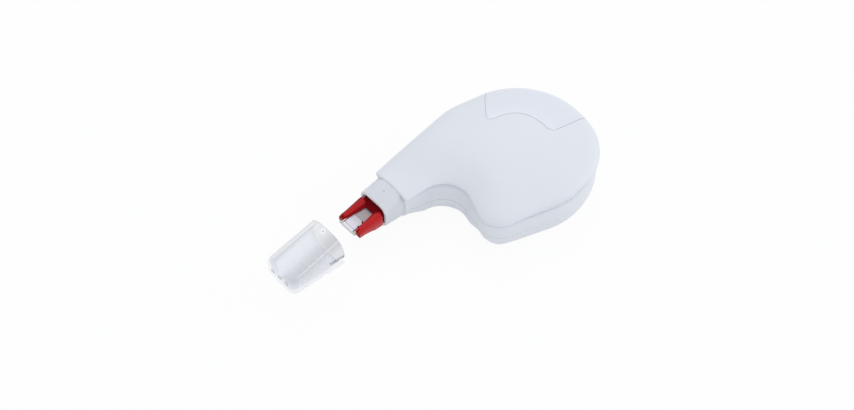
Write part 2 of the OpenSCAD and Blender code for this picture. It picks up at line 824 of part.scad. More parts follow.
twist_steps = 10;
module feed_tape_run() {
    start = supply + (roll_r + tape_mid) * bearing_of(feed_normal);
    bend = [for (t = [0 : 0.25 : 1]) mix(feed_normal - 180, 90, t)];
    color("white")
        ribbon(concat(
            [upright_tape(start, feed_normal, 1)],
            [for (a = bend)
                upright_tape(feed_pin + (roller_r + tape_mid) * bearing_of(a), a + 180, 1)],
            [for (k = [1 : twist_steps])
                let (t = k / twist_steps)
                    twisted_tape(
                        mix(feed_pin.x, run_end_x, t),
                        mix(run_high, blade_mid, ease(t)),
                        180 - 90 * ease(t))]
        ));
}
module return_tape_run() {
    start = takeup - (used_r + tape_mid) * bearing_of(return_normal);
    bend = [for (t = [0 : 0.25 : 1]) mix(return_normal, 90, t)];
    color("lightgrey")
        ribbon(concat(
            [upright_tape(start, return_normal, -1)],
            [for (a = bend)
                upright_tape(return_pin + (roller_r + tape_mid) * bearing_of(a), a, -1)],
            [for (k = [1 : twist_steps])
                let (t = k / twist_steps)
                    twisted_tape(
                        mix(return_pin.x, run_end_x, t),
                        mix(run_high, blade_mid, ease(t)),
                        -90 * ease(t))]
        ));
}

// Ring turned about an upright axis, from its inner to its outer radius
module turned(place, inner, outer, low, high) {
    translate([place.x, place.y, low])
        rotate_extrude()
            translate([inner, 0])
                square([outer - inner, high - low]);
}

module supply_core() {
    lip = hub_r + run_fit;
    room = lip + clutch_t + clutch_gap;
    color("white")
        union() {
            turned(supply, room, supply_core_r, core_low, core_high);
            turned(supply, lip, room + touch, core_low, core_low + core_lip);
            turned(supply, lip, room + touch, core_high - core_lip, core_high);
            turned(supply, supply_core_r - touch, supply_core_r + supply_flange, core_low,
                core_low + flange_t);
        }
}
clutch_gap = 0.1;
module supply_tape_roll() {
    color("white")
        turned(supply, supply_core_r, roll_r, neck_z - tape_w / 2, neck_z + tape_w / 2);
}
module drive_gear() {
    color("white")
        translate([supply.x, supply.y, gear_low])
            difference() {
                union() {
                    rotate(drive_turn)
                        linear_extrude(gear_t)
                            gear_plan(drive_teeth);
                    cylinder(r = hub_r, h = core_high - gear_low);
                }
                translate([0, 0, -past])
                    cylinder(r = supply_post_r + run_fit, h = core_high - gear_low + 2 * past);
            }
}
module clutch_ring() {
    color("dimgray")
        translate([supply.x, supply.y, neck_z])
            rotate_extrude()
                translate([hub_r + run_fit + clutch_t / 2, 0])
                    circle(clutch_t / 2);
}
key_r = takeup_post_r + 1.4;
key_h = 1.6;
key_gap = 0.08;
takeup_low = core_low + 0.05;
module takeup_core() {
    color("white")
        difference() {
            union() {
                turned(takeup, takeup_post_r + run_fit, takeup_core_r, takeup_low, core_high);
                turned(takeup, takeup_core_r - touch, takeup_core_r + takeup_flange, takeup_low,
                    core_low + flange_t);
            }
            translate([takeup.x, takeup.y, core_low - past])
                rotate(pinion_turn)
                    cylinder(r = key_r + key_gap, h = key_h + past + stack_gap, $fn = 6);
        }
}
module takeup_pinion() {
    color("white")
        translate([takeup.x, takeup.y, gear_low])
            difference() {
                union() {
                    rotate(pinion_turn)
                        linear_extrude(gear_t)
                            gear_plan(pinion_teeth);
                    rotate(pinion_turn)
                        cylinder(r = key_r, h = gear_t + stack_gap + key_h, $fn = 6);
                }
                translate([0, 0, -past])
                    cylinder(r = takeup_post_r + run_fit, h = gear_t + key_h + 3 * past);
            }
}
module takeup_tape_roll() {
    color("lightgrey")
        turned(takeup, takeup_core_r, used_r, neck_z - tape_w / 2, neck_z + tape_w / 2);
}
module feed_roller() {
    color("white")
        turned(feed_pin, roller_pin_r + run_fit, roller_r, core_low, core_high);
}
module return_roller() {
    color("white")
        turned(return_pin, roller_pin_r + run_fit, roller_r, core_low, core_high);
}

upper_shell();
lower_shell();
nose_collar();
label_film();
cap();
tip_holder();
tip_blade();
tip_tape();
feed_tape_run();
return_tape_run();
supply_core();
supply_tape_roll();
drive_gear();
clutch_ring();
takeup_core();
takeup_pinion();
takeup_tape_roll();
feed_roller();
return_roller();
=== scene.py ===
import json
import math

import bpy
import numpy as np
from mathutils import Matrix, Vector
from mathutils.bvhtree import BVHTree


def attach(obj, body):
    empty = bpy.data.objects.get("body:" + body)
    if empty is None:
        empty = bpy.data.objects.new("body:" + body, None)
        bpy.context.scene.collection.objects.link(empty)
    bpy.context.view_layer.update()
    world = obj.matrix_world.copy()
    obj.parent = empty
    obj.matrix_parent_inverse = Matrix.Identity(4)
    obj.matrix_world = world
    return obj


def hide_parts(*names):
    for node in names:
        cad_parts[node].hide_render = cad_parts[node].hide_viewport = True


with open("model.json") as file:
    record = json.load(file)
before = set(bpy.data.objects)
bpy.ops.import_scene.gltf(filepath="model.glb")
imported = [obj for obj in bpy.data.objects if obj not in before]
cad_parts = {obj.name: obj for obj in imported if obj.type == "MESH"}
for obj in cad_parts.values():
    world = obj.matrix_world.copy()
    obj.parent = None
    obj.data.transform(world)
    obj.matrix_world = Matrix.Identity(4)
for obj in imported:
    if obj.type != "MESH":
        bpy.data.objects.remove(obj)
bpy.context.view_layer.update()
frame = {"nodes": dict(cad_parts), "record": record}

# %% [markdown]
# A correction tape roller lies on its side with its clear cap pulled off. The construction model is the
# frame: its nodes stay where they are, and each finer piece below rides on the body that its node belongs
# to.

MM = 0.001
scene = bpy.context.scene

# %% [markdown]
# The photograph looks down on the roller from the finger hollow's side, with the neck towards the lower
# left. The camera's place was worked out by laying the outline, the neck's end, the tip and the cap over it.
# A camera's own axes are right, up and back, so they can be written straight into its matrix as columns.

# %% Camera
turn, tilt = math.radians(-42.5), math.radians(54)
cam_back = Vector((math.sin(turn) * math.cos(tilt), -math.cos(turn) * math.cos(tilt), math.sin(tilt)))
cam_right = Vector((math.cos(turn), math.sin(turn), 0))
cam_up = cam_back.cross(cam_right)
cam_place = Vector((-0.23826, -0.21960, 0.43001))
view = Matrix((cam_right, cam_up, cam_back)).transposed().to_4x4()
view.translation = cam_place

photo_camera = bpy.data.objects.new("photo_camera", bpy.data.cameras.new("photo_camera"))
scene.collection.objects.link(photo_camera)
photo_camera.data.lens = 74.53
photo_camera.data.sensor_width = 36
photo_camera.data.clip_start, photo_camera.data.clip_end = 0.01, 20
photo_camera.matrix_world = view
scene.camera = photo_camera
scene.view_settings.view_transform = "Standard"
print("camera height in mm:", round(cam_place.z / MM))

# %% [markdown]
# A white product needs soft light that still differs from side to side, or its edges vanish on a white
# ground. One wide lamp stands behind, where the flat of the case mirrors it towards the camera, so that the
# top is brightest in the middle and darker on every slope. Another stands to the right, a weak one in front
# lifts the near walls, and the world fills the shadows. Rays from the camera, reflections and refractions
# see plain white, so glass shows the same ground as the eye does.

# %% Lamps
LAMP_AIM = Vector((-0.02, 0, 0))
COOL_WHITE = (0.98, 0.99, 1)


def area_lamp(name, place, size, power, colour=(1, 1, 1)):
    lamp = bpy.data.objects.new(name, bpy.data.lights.new(name, "AREA"))
    scene.collection.objects.link(lamp)
    lamp.data.shape = "DISK"
    lamp.data.size = size
    lamp.data.energy = power
    lamp.data.color = colour
    lamp.location = place
    lamp.rotation_euler = (LAMP_AIM - Vector(place)).to_track_quat("-Z", "Y").to_euler()


area_lamp("back_softbox", (0.38, 0.43, 0.78), 0.4, 1.35)
area_lamp("right_softbox", (0.7, -0.4, 0.42), 0.45, 1.5, COOL_WHITE)
area_lamp("front_softbox", (-0.45, -0.62, 0.2), 0.5, 0.5, COOL_WHITE)


# %% World
def connect(tree, *routes):
    """Links nodes of a tree. Each route is a node, its output, the next node and its input."""
    for source, out, target, into in routes:
        tree.links.new(source.outputs[out], target.inputs[into])


def set_inputs(node, **values):
    """Sets values on a node's inputs. An underscore stands for a space in an input's name."""
    for label, value in values.items():
        node.inputs[label.replace("_", " ")].default_value = value
    return node


def math_node(tree, operation):
    made = tree.nodes.new("ShaderNodeMath")
    made.operation = operation
    return made


def white_to_sight(tree):
    """A node whose value is 1 for rays from the camera, reflections and refractions."""
    path = tree.nodes.new("ShaderNodeLightPath")
    first, both = math_node(tree, "MAXIMUM"), math_node(tree, "MAXIMUM")
    connect(tree, (path, "Is Camera Ray", first, 0), (path, "Is Glossy Ray", first, 1),
            (first, 0, both, 0), (path, "Is Transmission Ray", both, 1))
    return both


world = bpy.data.worlds.new("studio_white")
world.use_nodes = True
scene.world = world
sky = world.node_tree
fill = set_inputs(sky.nodes["Background"], Color=(0.92, 0.95, 1, 1), Strength=0.8)
seen = set_inputs(sky.nodes.new("ShaderNodeBackground"), Color=(1, 1, 1, 1), Strength=1)
pick = sky.nodes.new("ShaderNodeMixShader")
connect(sky, (white_to_sight(sky), 0, pick, 0), (fill, 0, pick, 1), (seen, 0, pick, 2),
        (pick, 0, sky.nodes["World Output"], "Surface"))
print("world:", world.name, "with", len(sky.nodes), "nodes")

# %% Floor
FLOOR_HALF, FLOOR_DROP, FLOOR_GLOW = 3, 0.0002, 0.93
floor_finish = bpy.data.materials.new("pale_floor")
floor_finish.use_nodes = True
ground = floor_finish.node_tree
ground.nodes.clear()
paper = set_inputs(ground.nodes.new("ShaderNodeBsdfDiffuse"), Color=(0.9, 0.9, 0.9, 1))
glow = set_inputs(ground.nodes.new("ShaderNodeEmission"), Color=(1, 1, 1, 1))
sight = math_node(ground, "MULTIPLY")
sight.inputs[1].default_value = FLOOR_GLOW
floor_mix = ground.nodes.new("ShaderNodeMixShader")
connect(ground, (white_to_sight(ground), 0, sight, 0), (sight, 0, floor_mix, 0), (paper, 0, floor_mix, 1),
        (glow, 0, floor_mix, 2), (floor_mix, 0, ground.nodes.new("ShaderNodeOutputMaterial"), "Surface"))

floor_mesh = bpy.data.meshes.new("floor")
floor_plan = ((-1, -1), (1, -1), (1, 1), (-1, 1))
floor_corners = [(x * FLOOR_HALF, y * FLOOR_HALF, -FLOOR_DROP) for x, y in floor_plan]
floor_mesh.from_pydata(floor_corners, [], [(0, 1, 2, 3)])
floor_mesh.materials.append(floor_finish)
floor = bpy.data.objects.new("floor", floor_mesh)
scene.collection.objects.link(floor)
print("floor:", 2 * FLOOR_HALF, "m wide, finished in", floor_finish.name)

# %% [markdown]
# Moulded plastic is never one flat value: the steel mould leaves a fine grain, and thicker places look a
# little denser. Nearly every finish here needs that, so it is built once as a shader node group. Two tints
# drift into each other over a few millimetres, a finer noise sets the roughness between two limits, and its
# height can feed a Bump node.

# %% Moulded grain, a shared node group
GRAIN_INPUTS = {"Tint A": "Color", "Tint B": "Color", "Drift Scale": "Float", "Grain Scale": "Float",
                "Rough Low": "Float", "Rough High": "Float"}
GRAIN_OUTPUTS = {"Color": "Color", "Roughness": "Float", "Height": "Float"}
grain = bpy.data.node_groups.new("moulded_grain", "ShaderNodeTree")
for way, sockets in (("INPUT", GRAIN_INPUTS), ("OUTPUT", GRAIN_OUTPUTS)):
    for label, kind in sockets.items():
        grain.interface.new_socket(label, in_out=way, socket_type="NodeSocket" + kind)
g_in, g_out = grain.nodes.new("NodeGroupInput"), grain.nodes.new("NodeGroupOutput")
where = grain.nodes.new("ShaderNodeTexCoord")
drift = set_inputs(grain.nodes.new("ShaderNodeTexNoise"), Detail=3)
fine = set_inputs(grain.nodes.new("ShaderNodeTexNoise"), Detail=4)
tints = grain.nodes.new("ShaderNodeMix")
tints.data_type = "RGBA"
limits = grain.nodes.new("ShaderNodeMapRange")
connect(grain,
        (where, "Object", drift, "Vector"), (where, "Object", fine, "Vector"),
        (g_in, "Drift Scale", drift, "Scale"), (g_in, "Grain Scale", fine, "Scale"),
        (drift, "Fac", tints, "Factor"), (g_in, "Tint A", tints, "A"), (g_in, "Tint B", tints, "B"),
        (fine, "Fac", limits, "Value"), (g_in, "Rough Low", limits, "To Min"),
        (g_in, "Rough High", limits, "To Max"), (tints, "Result", g_out, "Color"),
        (limits, "Result", g_out, "Roughness"), (fine, "Fac", g_out, "Height"))
print("group:", grain.name, len(grain.nodes), "nodes")

# %% [markdown]
# One function then makes a finish: the group gives colour, roughness and a trace of bump, and values that
# are the same all over, such as how much light goes through, are set on the shader itself. The collar's thin
# wall lets some light into its pocket. The cap's tint, its painted shade and highlights, is read from its own
# points, which get it later.

# %% How a finish is made
DRIFT_SCALE, GRAIN_SCALE, TAPE_GRAIN = 60, 2500, 900
BUMP_HEIGHT = 0.1 * MM


def finish(name, tint_a, tint_b, rough, grain_scale=GRAIN_SCALE, bump=0.02, **plain):
    made = bpy.data.materials.new(name)
    made.use_nodes = True
    tree = made.node_tree
    skin = tree.nodes["Principled BSDF"]
    group = tree.nodes.new("ShaderNodeGroup")
    group.node_tree = grain
    set_inputs(group, Tint_A=(*tint_a, 1), Tint_B=(*tint_b, 1), Drift_Scale=DRIFT_SCALE,
               Grain_Scale=grain_scale, Rough_Low=rough[0], Rough_High=rough[1])
    connect(tree, (group, "Color", skin, "Base Color"), (group, "Roughness", skin, "Roughness"))
    if bump:
        relief = set_inputs(tree.nodes.new("ShaderNodeBump"), Strength=bump, Distance=BUMP_HEIGHT)
        connect(tree, (group, "Height", relief, "Height"), (relief, "Normal", skin, "Normal"))
    set_inputs(skin, **plain)
    return made


def clear_finish(name, tint_a, tint_b, rough, ior):
    return finish(name, tint_a, tint_b, rough, bump=0, Transmission_Weight=1.0, IOR=ior)


def tape_finish(name, tint_a, tint_b, rough=(0.3, 0.42)):
    return finish(name, tint_a, tint_b, rough, TAPE_GRAIN)


print("grain scale:", GRAIN_SCALE, "and for tape", TAPE_GRAIN)

# %% Finishes of the case and the cap
case_white = finish("satin_case_white", (0.755, 0.775, 0.81), (0.775, 0.795, 0.825), (0.34, 0.48),
                    bump=0.05, Specular_IOR_Level=0.25)
collar_white = finish("satin_collar_white", (0.695, 0.71, 0.75), (0.715, 0.73, 0.76), (0.3, 0.42), bump=0.05,
                      Subsurface_Weight=0.8, Subsurface_Radius=(1, 1, 1), Subsurface_Scale=2 * MM)
film_bare = finish("gloss_film", (0.735, 0.76, 0.81), (0.76, 0.78, 0.82), (0.2, 0.28),
                   bump=0.01, Coat_Weight=0.2, Coat_Roughness=0.1)
film_rim = finish("gloss_film_rim", (0.46, 0.48, 0.53), (0.5, 0.515, 0.56), (0.2, 0.3), bump=0.01)
cap_clear = clear_finish("clear_cap_plastic", (0.87, 0.88, 0.91), (0.88, 0.89, 0.92), (0.03, 0.07), 1.06)
# The cap's base colour is its painted shade and highlights, read from a point attribute.
painted_light_tint = cap_clear.node_tree.nodes.new("ShaderNodeAttribute")
painted_light_tint.attribute_name = "painted_light_tint"
connect(cap_clear.node_tree,
        (painted_light_tint, "Color", cap_clear.node_tree.nodes["Principled BSDF"], "Base Color"))
# Painted shade: a grey line along the notch's upper cut face.
notch_shade_grey = finish("notch_shade_grey", (0.62, 0.62, 0.67), (0.67, 0.67, 0.72), (0.3, 0.4), bump=0)
# Painted shade: dark grey for the air holes' rims and the middle of the dimple.
vent_shade_grey = finish("vent_shade_grey", (0.3, 0.31, 0.33), (0.38, 0.39, 0.41), (0.3, 0.4), bump=0)
print("case and cap:", [m.name for m in (case_white, collar_white, film_bare, cap_clear)])

# %% Finishes of the tip, the tape and the inner pieces
blade_clear = clear_finish("clear_blade_plastic", (0.86, 0.89, 0.86), (0.88, 0.91, 0.88), (0.04, 0.1), 1.15)
bar_pale = finish("pressing_bar", (0.7, 0.7, 0.73), (0.76, 0.76, 0.78), (0.1, 0.16), bump=0.01)
bar_end = finish("pressing_bar_end", (0.58, 0.61, 0.5), (0.66, 0.68, 0.58), (0.1, 0.16), bump=0.01)
tip_red = finish("gloss_tip_red", (0.54, 0.007, 0.01), (0.45, 0.005, 0.008), (0.2, 0.3), bump=0.01,
                 Coat_Weight=0.05, Coat_Roughness=0.08, Specular_IOR_Level=0.22)
# Painted shade: a darker red for the far arm's bevel, shoulder, lower slope and foot, and for the end faces
# of both arms.
tip_shade_red = finish("painted_shade_tip_red", (0.33, 0.003, 0.006), (0.27, 0.003, 0.005), (0.2, 0.3),
                  bump=0.01, Specular_IOR_Level=0.06)
# Painted shade: the root's red is darker still, for the shade in the mouth of the collar's pocket.
root_shade_red = finish("painted_shade_root_red", (0.22, 0.004, 0.009), (0.17, 0.003, 0.007), (0.4, 0.5),
                  bump=0.01, Specular_IOR_Level=0.02)
# Painted shade and painted reflection: the tape between the arms is darker and pinker, and a dark grey band
# crosses it before the bar.
tape_shade_and_red_reflection = tape_finish("tape_painted_shade_and_red_reflection", (0.36, 0.31, 0.325), (0.4, 0.345, 0.36))
tape_fresh = tape_finish("fresh_tape", (0.56, 0.58, 0.57), (0.62, 0.62, 0.63))
tape_shade_band = tape_finish("tape_shade_band", (0.36, 0.35, 0.38), (0.42, 0.41, 0.44))
tape_join = tape_finish("tape_join", (0.32, 0.25, 0.3), (0.35, 0.28, 0.33))
tape_white = tape_finish("tape_white", (0.72, 0.71, 0.73), (0.78, 0.77, 0.78), (0.35, 0.5))
tape_used = tape_finish("tape_used", (0.6, 0.6, 0.58), (0.66, 0.66, 0.64), (0.25, 0.4))
gear_white = finish("gear_white", (0.76, 0.76, 0.75), (0.8, 0.8, 0.79), (0.4, 0.55), bump=0.05)
clutch_rubber = finish("clutch_rubber", (0.02, 0.02, 0.022), (0.03, 0.03, 0.032), (0.7, 0.9), bump=0.2)
print("finishes:", [m.name for m in bpy.data.materials])

# %% [markdown]
# All pieces are meshes written point by point in millimetres. A loft is the main tool: rings with the same
# number of points, joined by four-sided faces, and closed by a point at each end or by joining the last ring
# to the first. The signed volume says whether the faces look outwards, and turns them round if they do not.

# %% Mesh helpers
def volume(points, faces):
    total = 0.0
    for face in faces:
        a = points[face[0]]
        for b, c in zip(face[1:-1], face[2:]):
            total += np.dot(a, np.cross(points[b], points[c]))
    return total / 6


def outward(points, faces):
    """The same skin, with its faces looking outwards."""
    return points, [face[::-1] for face in faces] if volume(points, faces) < 0 else faces


def loft(rings, first=None, last=None, wrap=False):
    """Points and faces of a skin over rings, an array of shape (rings, points, 3)."""
    rings = np.asarray(rings, float)
    m, n = rings.shape[:2]
    points = [p for ring in rings for p in ring]
    faces = []
    for i in range(m if wrap else m - 1):
        a, b = i * n, ((i + 1) % m) * n
        for j in range(n):
            k = (j + 1) % n
            faces.append((a + j, a + k, b + k, b + j))
    for point, base, turned_in in ((first, 0, True), (last, (m - 1) * n, False)):
        if point is not None:
            points.append(np.asarray(point, float))
            tip = len(points) - 1
            for j in range(n):
                k = (j + 1) % n
                faces.append((base + k, base + j, tip) if turned_in else (base + j, base + k, tip))
    return outward(np.array(points), faces)


def joined(*parts):
    points, faces, start = [], [], 0
    for p, f in parts:
        points.append(p)
        faces += [tuple(i + start for i in face) for face in f]
        start += len(p)
    return np.concatenate(points), faces


def raw_object(name, shape, *finishes):
    mesh = bpy.data.meshes.new(name)
    mesh.from_pydata((np.asarray(shape[0]) * MM).tolist(), [], shape[1])
    for one in finishes:
        mesh.materials.append(one)
    mesh.update()
    made = bpy.data.objects.new(name, mesh)
    scene.collection.objects.link(made)
    return made


def settle(made):
    """Turns an object and its modifiers into a plain mesh."""
    bpy.context.view_layer.update()
    mesh = bpy.data.meshes.new_from_object(made.evaluated_get(bpy.context.evaluated_depsgraph_get()))
    made.modifiers.clear()
    made.data = mesh


def carve(made, cutter):
    cut = made.modifiers.new("cut", "BOOLEAN")
    cut.operation = "DIFFERENCE"
    cut.solver = "EXACT"
    cut.object = cutter
    settle(made)
    bpy.data.objects.remove(cutter)


def place(made, body, slot, *nodes, sharp=32):
    made.data.shade_smooth()
    made.data.set_sharp_from_angle(angle=math.radians(sharp))
    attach(made, body)
    if nodes:
        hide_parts(*nodes)
    print(made.name, "on", body, "with", len(made.data.polygons), "faces")


# %% [markdown]
# The case is a comma drawn with five circles: the round end, the shoulder, the nose that the neck aims at,
# the finger hollow, which curves the other way, and the heel. Straight lines touch one circle after the
# next. Drawing the outline in by some inset only changes the radii, so every height of the case can use the
# same list of stations. Near the neck's end the stations crowd together, because a small round goes there.

# %% Circles and lines of the case
LOBE_R, NECK_X, NECK_Y, NECK_Z = 24.1, -37.2, 15.7, 8.6
circles = np.array([
    (0, 0, LOBE_R),
    (-7, 2.6, LOBE_R - 0.9),
    (NECK_X - 15.6, NECK_Y, 5.1),
    (-30.9, -0.3, -8.4),
    (-19, -11.6, 6.8),
])
ARC_STEPS = (80, 12, 0, 40, 34)
LINE_STEPS = (0, 26, 16, 12, 18)


def bearing(angle):
    return np.array((math.cos(angle), math.sin(angle)))


def leave(i):
    """Bearing at which the outline leaves a circle for the next one."""
    a, b = circles[i], circles[(i + 1) % len(circles)]
    way = b[:2] - a[:2]
    return math.atan2(way[1], way[0]) - math.acos((a[2] - b[2]) / np.hypot(*way))


def arc_angles(i):
    start, stop = leave((i - 1) % len(circles)), leave(i)
    sweep = (stop - start) % math.tau if circles[i][2] > 0 else -((start - stop) % math.tau)
    return [start + sweep * k / ARC_STEPS[i] for k in range(ARC_STEPS[i] + 1)]


def line_shares(i):
    return [k / LINE_STEPS[i] for k in range(1, LINE_STEPS[i])]


def line_point(i, inset, share):
    c = circles[i] + (circles[(i + 1) % len(circles)] - circles[i]) * share
    return c[:2] + (c[2] - inset) * bearing(leave(i))


def neck_point(i, inset, x):
    a, b = line_point(i, inset, 0), line_point(i, inset, 1)
    return a + (b - a) * (x - a[0]) / (b[0] - a[0])


print("bearings at which each circle is left:", [round(math.degrees(leave(i))) for i in range(len(circles))])

# %% Outline of the case
END_STEPS, END_ROUND = 12, 0.7
END_NEAR = (0.9, 0.7, 0.5, 0.34, 0.2, 0.1, 0.03, 0.0)
REAR_CORNER, TUCK_FROM, TUCK_OVER = -45, 8, 35


def end_round(e, r=END_ROUND):
    """How far the small round at the neck's end draws the surface in, at a distance from the end."""
    e = np.clip(e, 0, r)
    return r - np.sqrt(np.maximum(r * r - (r - e) ** 2, 0))


def ease(t):
    t = np.clip(t, 0, 1)
    return t * t * (3 - 2 * t)


def tuck_share(angle):
    """Share of the cushion's tuck at a bearing on the round end: none at its rear corner."""
    off = abs((angle - math.radians(REAR_CORNER) + math.pi) % math.tau - math.pi)
    return ease((math.degrees(off) - TUCK_FROM) / TUCK_OVER)


def outline(inset, sideways=1.0, end_x=NECK_X, r=END_ROUND, lean=0.0, tuck=0.0):
    """The plan at an inset. The small round draws it in at the neck's end, a lean moves the finger hollow
    out, and a tuck draws the round end and the shoulder in."""
    lobe, shoulder, _, hollow, heel = circles
    near = [(end_x + e, inset + sideways * float(end_round(e, r) if r else 0)) for e in END_NEAR]
    neck = near[0][0]
    pts = [lobe[:2] + (lobe[2] - inset - tuck * tuck_share(a)) * bearing(a) for a in arc_angles(0)]
    pts += [shoulder[:2] + (shoulder[2] - inset - tuck) * bearing(a) for a in arc_angles(1)]
    start = line_point(1, inset + tuck, 0)[0]
    pts += [neck_point(1, inset + tuck * ease(1 - t), start + (neck - start) * t) for t in line_shares(1)]
    pts += [neck_point(1, d, x) for x, d in near]
    low = [neck_point(2, d, x) for x, d in near[::-1]]
    pts += [pts[-1] + (low[0] - pts[-1]) * k / END_STEPS for k in range(1, END_STEPS)]
    stop = line_point(2, inset - lean, 1)[0]
    pts += low + [neck_point(2, inset - lean * ease(t), neck + (stop - neck) * t) for t in line_shares(2)]
    pts += [hollow[:2] + (hollow[2] - inset + lean) * bearing(a) for a in arc_angles(3)]
    pts += [line_point(3, inset - lean * ease(1 - t), t) for t in line_shares(3)]
    pts += [heel[:2] + (heel[2] - inset) * bearing(a) for a in arc_angles(4)]
    pts += [line_point(4, inset + tuck * ease(t), t) for t in line_shares(4)]
    return np.array(pts)


print("stations round the case:", len(outline(0)))

# %% [markdown]
# Seen from the side, the upper shell is a cushion: a soft ellipse from the widest line up to the crown, a
# crisp lip cut under into a groove, a fillet out of it and the side band down to the seam. Towards the neck
# all heights draw closer to the neck axis, and below the groove the wall of the finger hollow leans out.
# Above it the cushion draws in a little all round except at the rear corner, where it reaches out over the
# band. Each row of the skin is an inset, a height, the way the surface faces there and its share of that
# tuck.

# %% Heights and rows of the upper shell
CASE_H, SEAM_Z, BAND_Z, GROOVE_Z, CUSHION_Z = 18.0, 7.0, 10.5, 11.8, 14.2
GROOVE_DEEP, BAND_IN, SEAM_IN, EDGE_W, CROWN, WALL = 1.7, 0.6, 0.47, 4.5, 1.7, 1.3
NECK_H, THIN_FROM = 12.6, -14.0
HOLLOW_LEAN, LEAN_DROP, TUCK = 1.8, 6.7, 1.0
LIP_ROLL, SEAM_GAP = 0.8, 0.03
SEAM_ROUND = ((0, 0.2), (0.03, 0.1), (0.11, SEAM_GAP))
EDGE_TOP = CASE_H - CROWN
DOME = np.array((-6.5, 11.5))


def thinning(x):
    return ease((THIN_FROM - x) / (THIN_FROM - NECK_X))


def height_above(z, x):
    squeeze = (NECK_Z + NECK_H / 2 - GROOVE_Z) / (CASE_H - GROOVE_Z)
    return np.where(z <= GROOVE_Z, z, GROOVE_Z + (z - GROOVE_Z) * (1 + (squeeze - 1) * thinning(x)))


def height_below(z, x):
    squeeze = (SEAM_Z - NECK_Z + NECK_H / 2) / SEAM_Z
    return SEAM_Z - (SEAM_Z - z) * (1 + (squeeze - 1) * thinning(x))


def lean_at(z):
    return HOLLOW_LEAN * min(1.0, max(0.0, (GROOVE_Z - z) / LEAN_DROP))


def ring(row, height, end_x=NECK_X, r=END_ROUND):
    inset, z, sideways, upward, tuck = row
    flat = outline(inset, sideways, end_x, r, lean_at(z), TUCK * tuck)
    drop = upward * end_round(flat[:, 0] - end_x, r) if r else 0
    return np.column_stack((flat, height(np.full(len(flat), z), flat[:, 0]) - drop))


def quarter(steps, start=0.0, stop=90.0):
    return [math.radians(start + (stop - start) * k / steps) for k in range(steps + 1)]


def side_row(inset, z, tuck=0):
    return inset, z, 1, 0, tuck


edge_insets = [(EDGE_W * (1 - math.cos(a)), a) for a in quarter(18, 90, 0)]
lip_rows = [side_row(LIP_ROLL * (1 - math.cos(a)), CUSHION_Z - LIP_ROLL * math.sin(a), 1)
            for a in quarter(7, 6, 48)]
roll_in, roll_z = lip_rows[-1][:2]
lip_rows += [side_row(roll_in + (GROOVE_DEEP - roll_in) * t, roll_z + (GROOVE_Z - roll_z) * t, 1 - t)
             for t in (0.2, 0.4, 0.6, 0.8, 1)]
fillet_in, fillet_up = GROOVE_DEEP - BAND_IN, GROOVE_Z - BAND_Z
fillet_rows = [side_row(BAND_IN + fillet_in * (1 - math.cos(a)), BAND_Z + fillet_up * math.sin(a))
               for a in quarter(9, 88, 0)]
band_end = SEAM_Z + SEAM_ROUND[0][1]
band_rows = [side_row(BAND_IN + (SEAM_IN - BAND_IN) * t, BAND_Z + (band_end - BAND_Z) * t)
             for t in (0.3, 0.6, 0.9, 1)]
seam_rows = [side_row(SEAM_IN + d, SEAM_Z + gap) for d, gap in SEAM_ROUND[1:]]
wall_rows = lip_rows + fillet_rows + band_rows + seam_rows
print("rows of the upper skin:", len(edge_insets + wall_rows))

# %% [markdown]
# The crown inside the soft edge swells like a stretched skin under even pressure: nothing at the edge, most
# in the middle, smooth everywhere. Its heights come from one set of linear equations, solved on the crown's
# own triangles. That avoids the creases that straight spokes from one centre would leave along the neck.
# The soft edge then takes up the crown's slope at every station, so that no line shows where the two meet.

# %% Swell of the crown
SHARES = (0.12, 0.26, 0.4, 0.53, 0.65, 0.75, 0.83, 0.9, 0.95, 0.976, 0.988, 0.996)
SLOPE_PASSES, MOST_SLOPE = 6, 0.44


def fan(rows, n):
    """Triangles of a disc whose rings run from the middle point, index 0, outwards."""
    tris = [(0, 1 + j, 1 + (j + 1) % n) for j in range(n)]
    for i in range(rows - 1):
        a, b = 1 + i * n, 1 + (i + 1) * n
        for j in range(n):
            k = (j + 1) % n
            tris += [(a + j, b + j, b + k), (a + j, b + k, a + k)]
    return np.array(tris)


def swell(flat, tris, free):
    """Height of a skin under even pressure, 1 at its highest point and 0 on the fixed rim."""
    count = len(flat)
    stiff, load = np.zeros((count, count)), np.zeros(count)
    p = flat[tris]
    area = 0.5 * np.abs((p[:, 1, 0] - p[:, 0, 0]) * (p[:, 2, 1] - p[:, 0, 1])
                        - (p[:, 2, 0] - p[:, 0, 0]) * (p[:, 1, 1] - p[:, 0, 1]))
    area = np.maximum(area, 1e-9)
    for i in range(3):
        np.add.at(load, tris[:, i], area / 3)
        for j in range(3):
            a = p[:, (i + 2) % 3] - p[:, (i + 1) % 3]
            b = p[:, (j + 2) % 3] - p[:, (j + 1) % 3]
            np.add.at(stiff, (tris[:, i], tris[:, j]), (a * b).sum(1) / (4 * area))
    high = np.zeros(count)
    high[:free] = np.linalg.solve(stiff[:free, :free], load[:free])
    return high / high.max()


rim = outline(EDGE_W, 0)
stations = len(rim)
crown_flat = np.concatenate([[DOME]] + [DOME + (rim - DOME) * s for s in SHARES + (1.0,)])
crown_tris = fan(len(SHARES) + 1, stations)
crown_up = swell(crown_flat, crown_tris, 1 + len(SHARES) * stations)
crown_z = height_above(EDGE_TOP + CROWN * crown_up, crown_flat[:, 0]) - end_round(crown_flat[:, 0] - NECK_X)
crown = np.column_stack((crown_flat, crown_z))

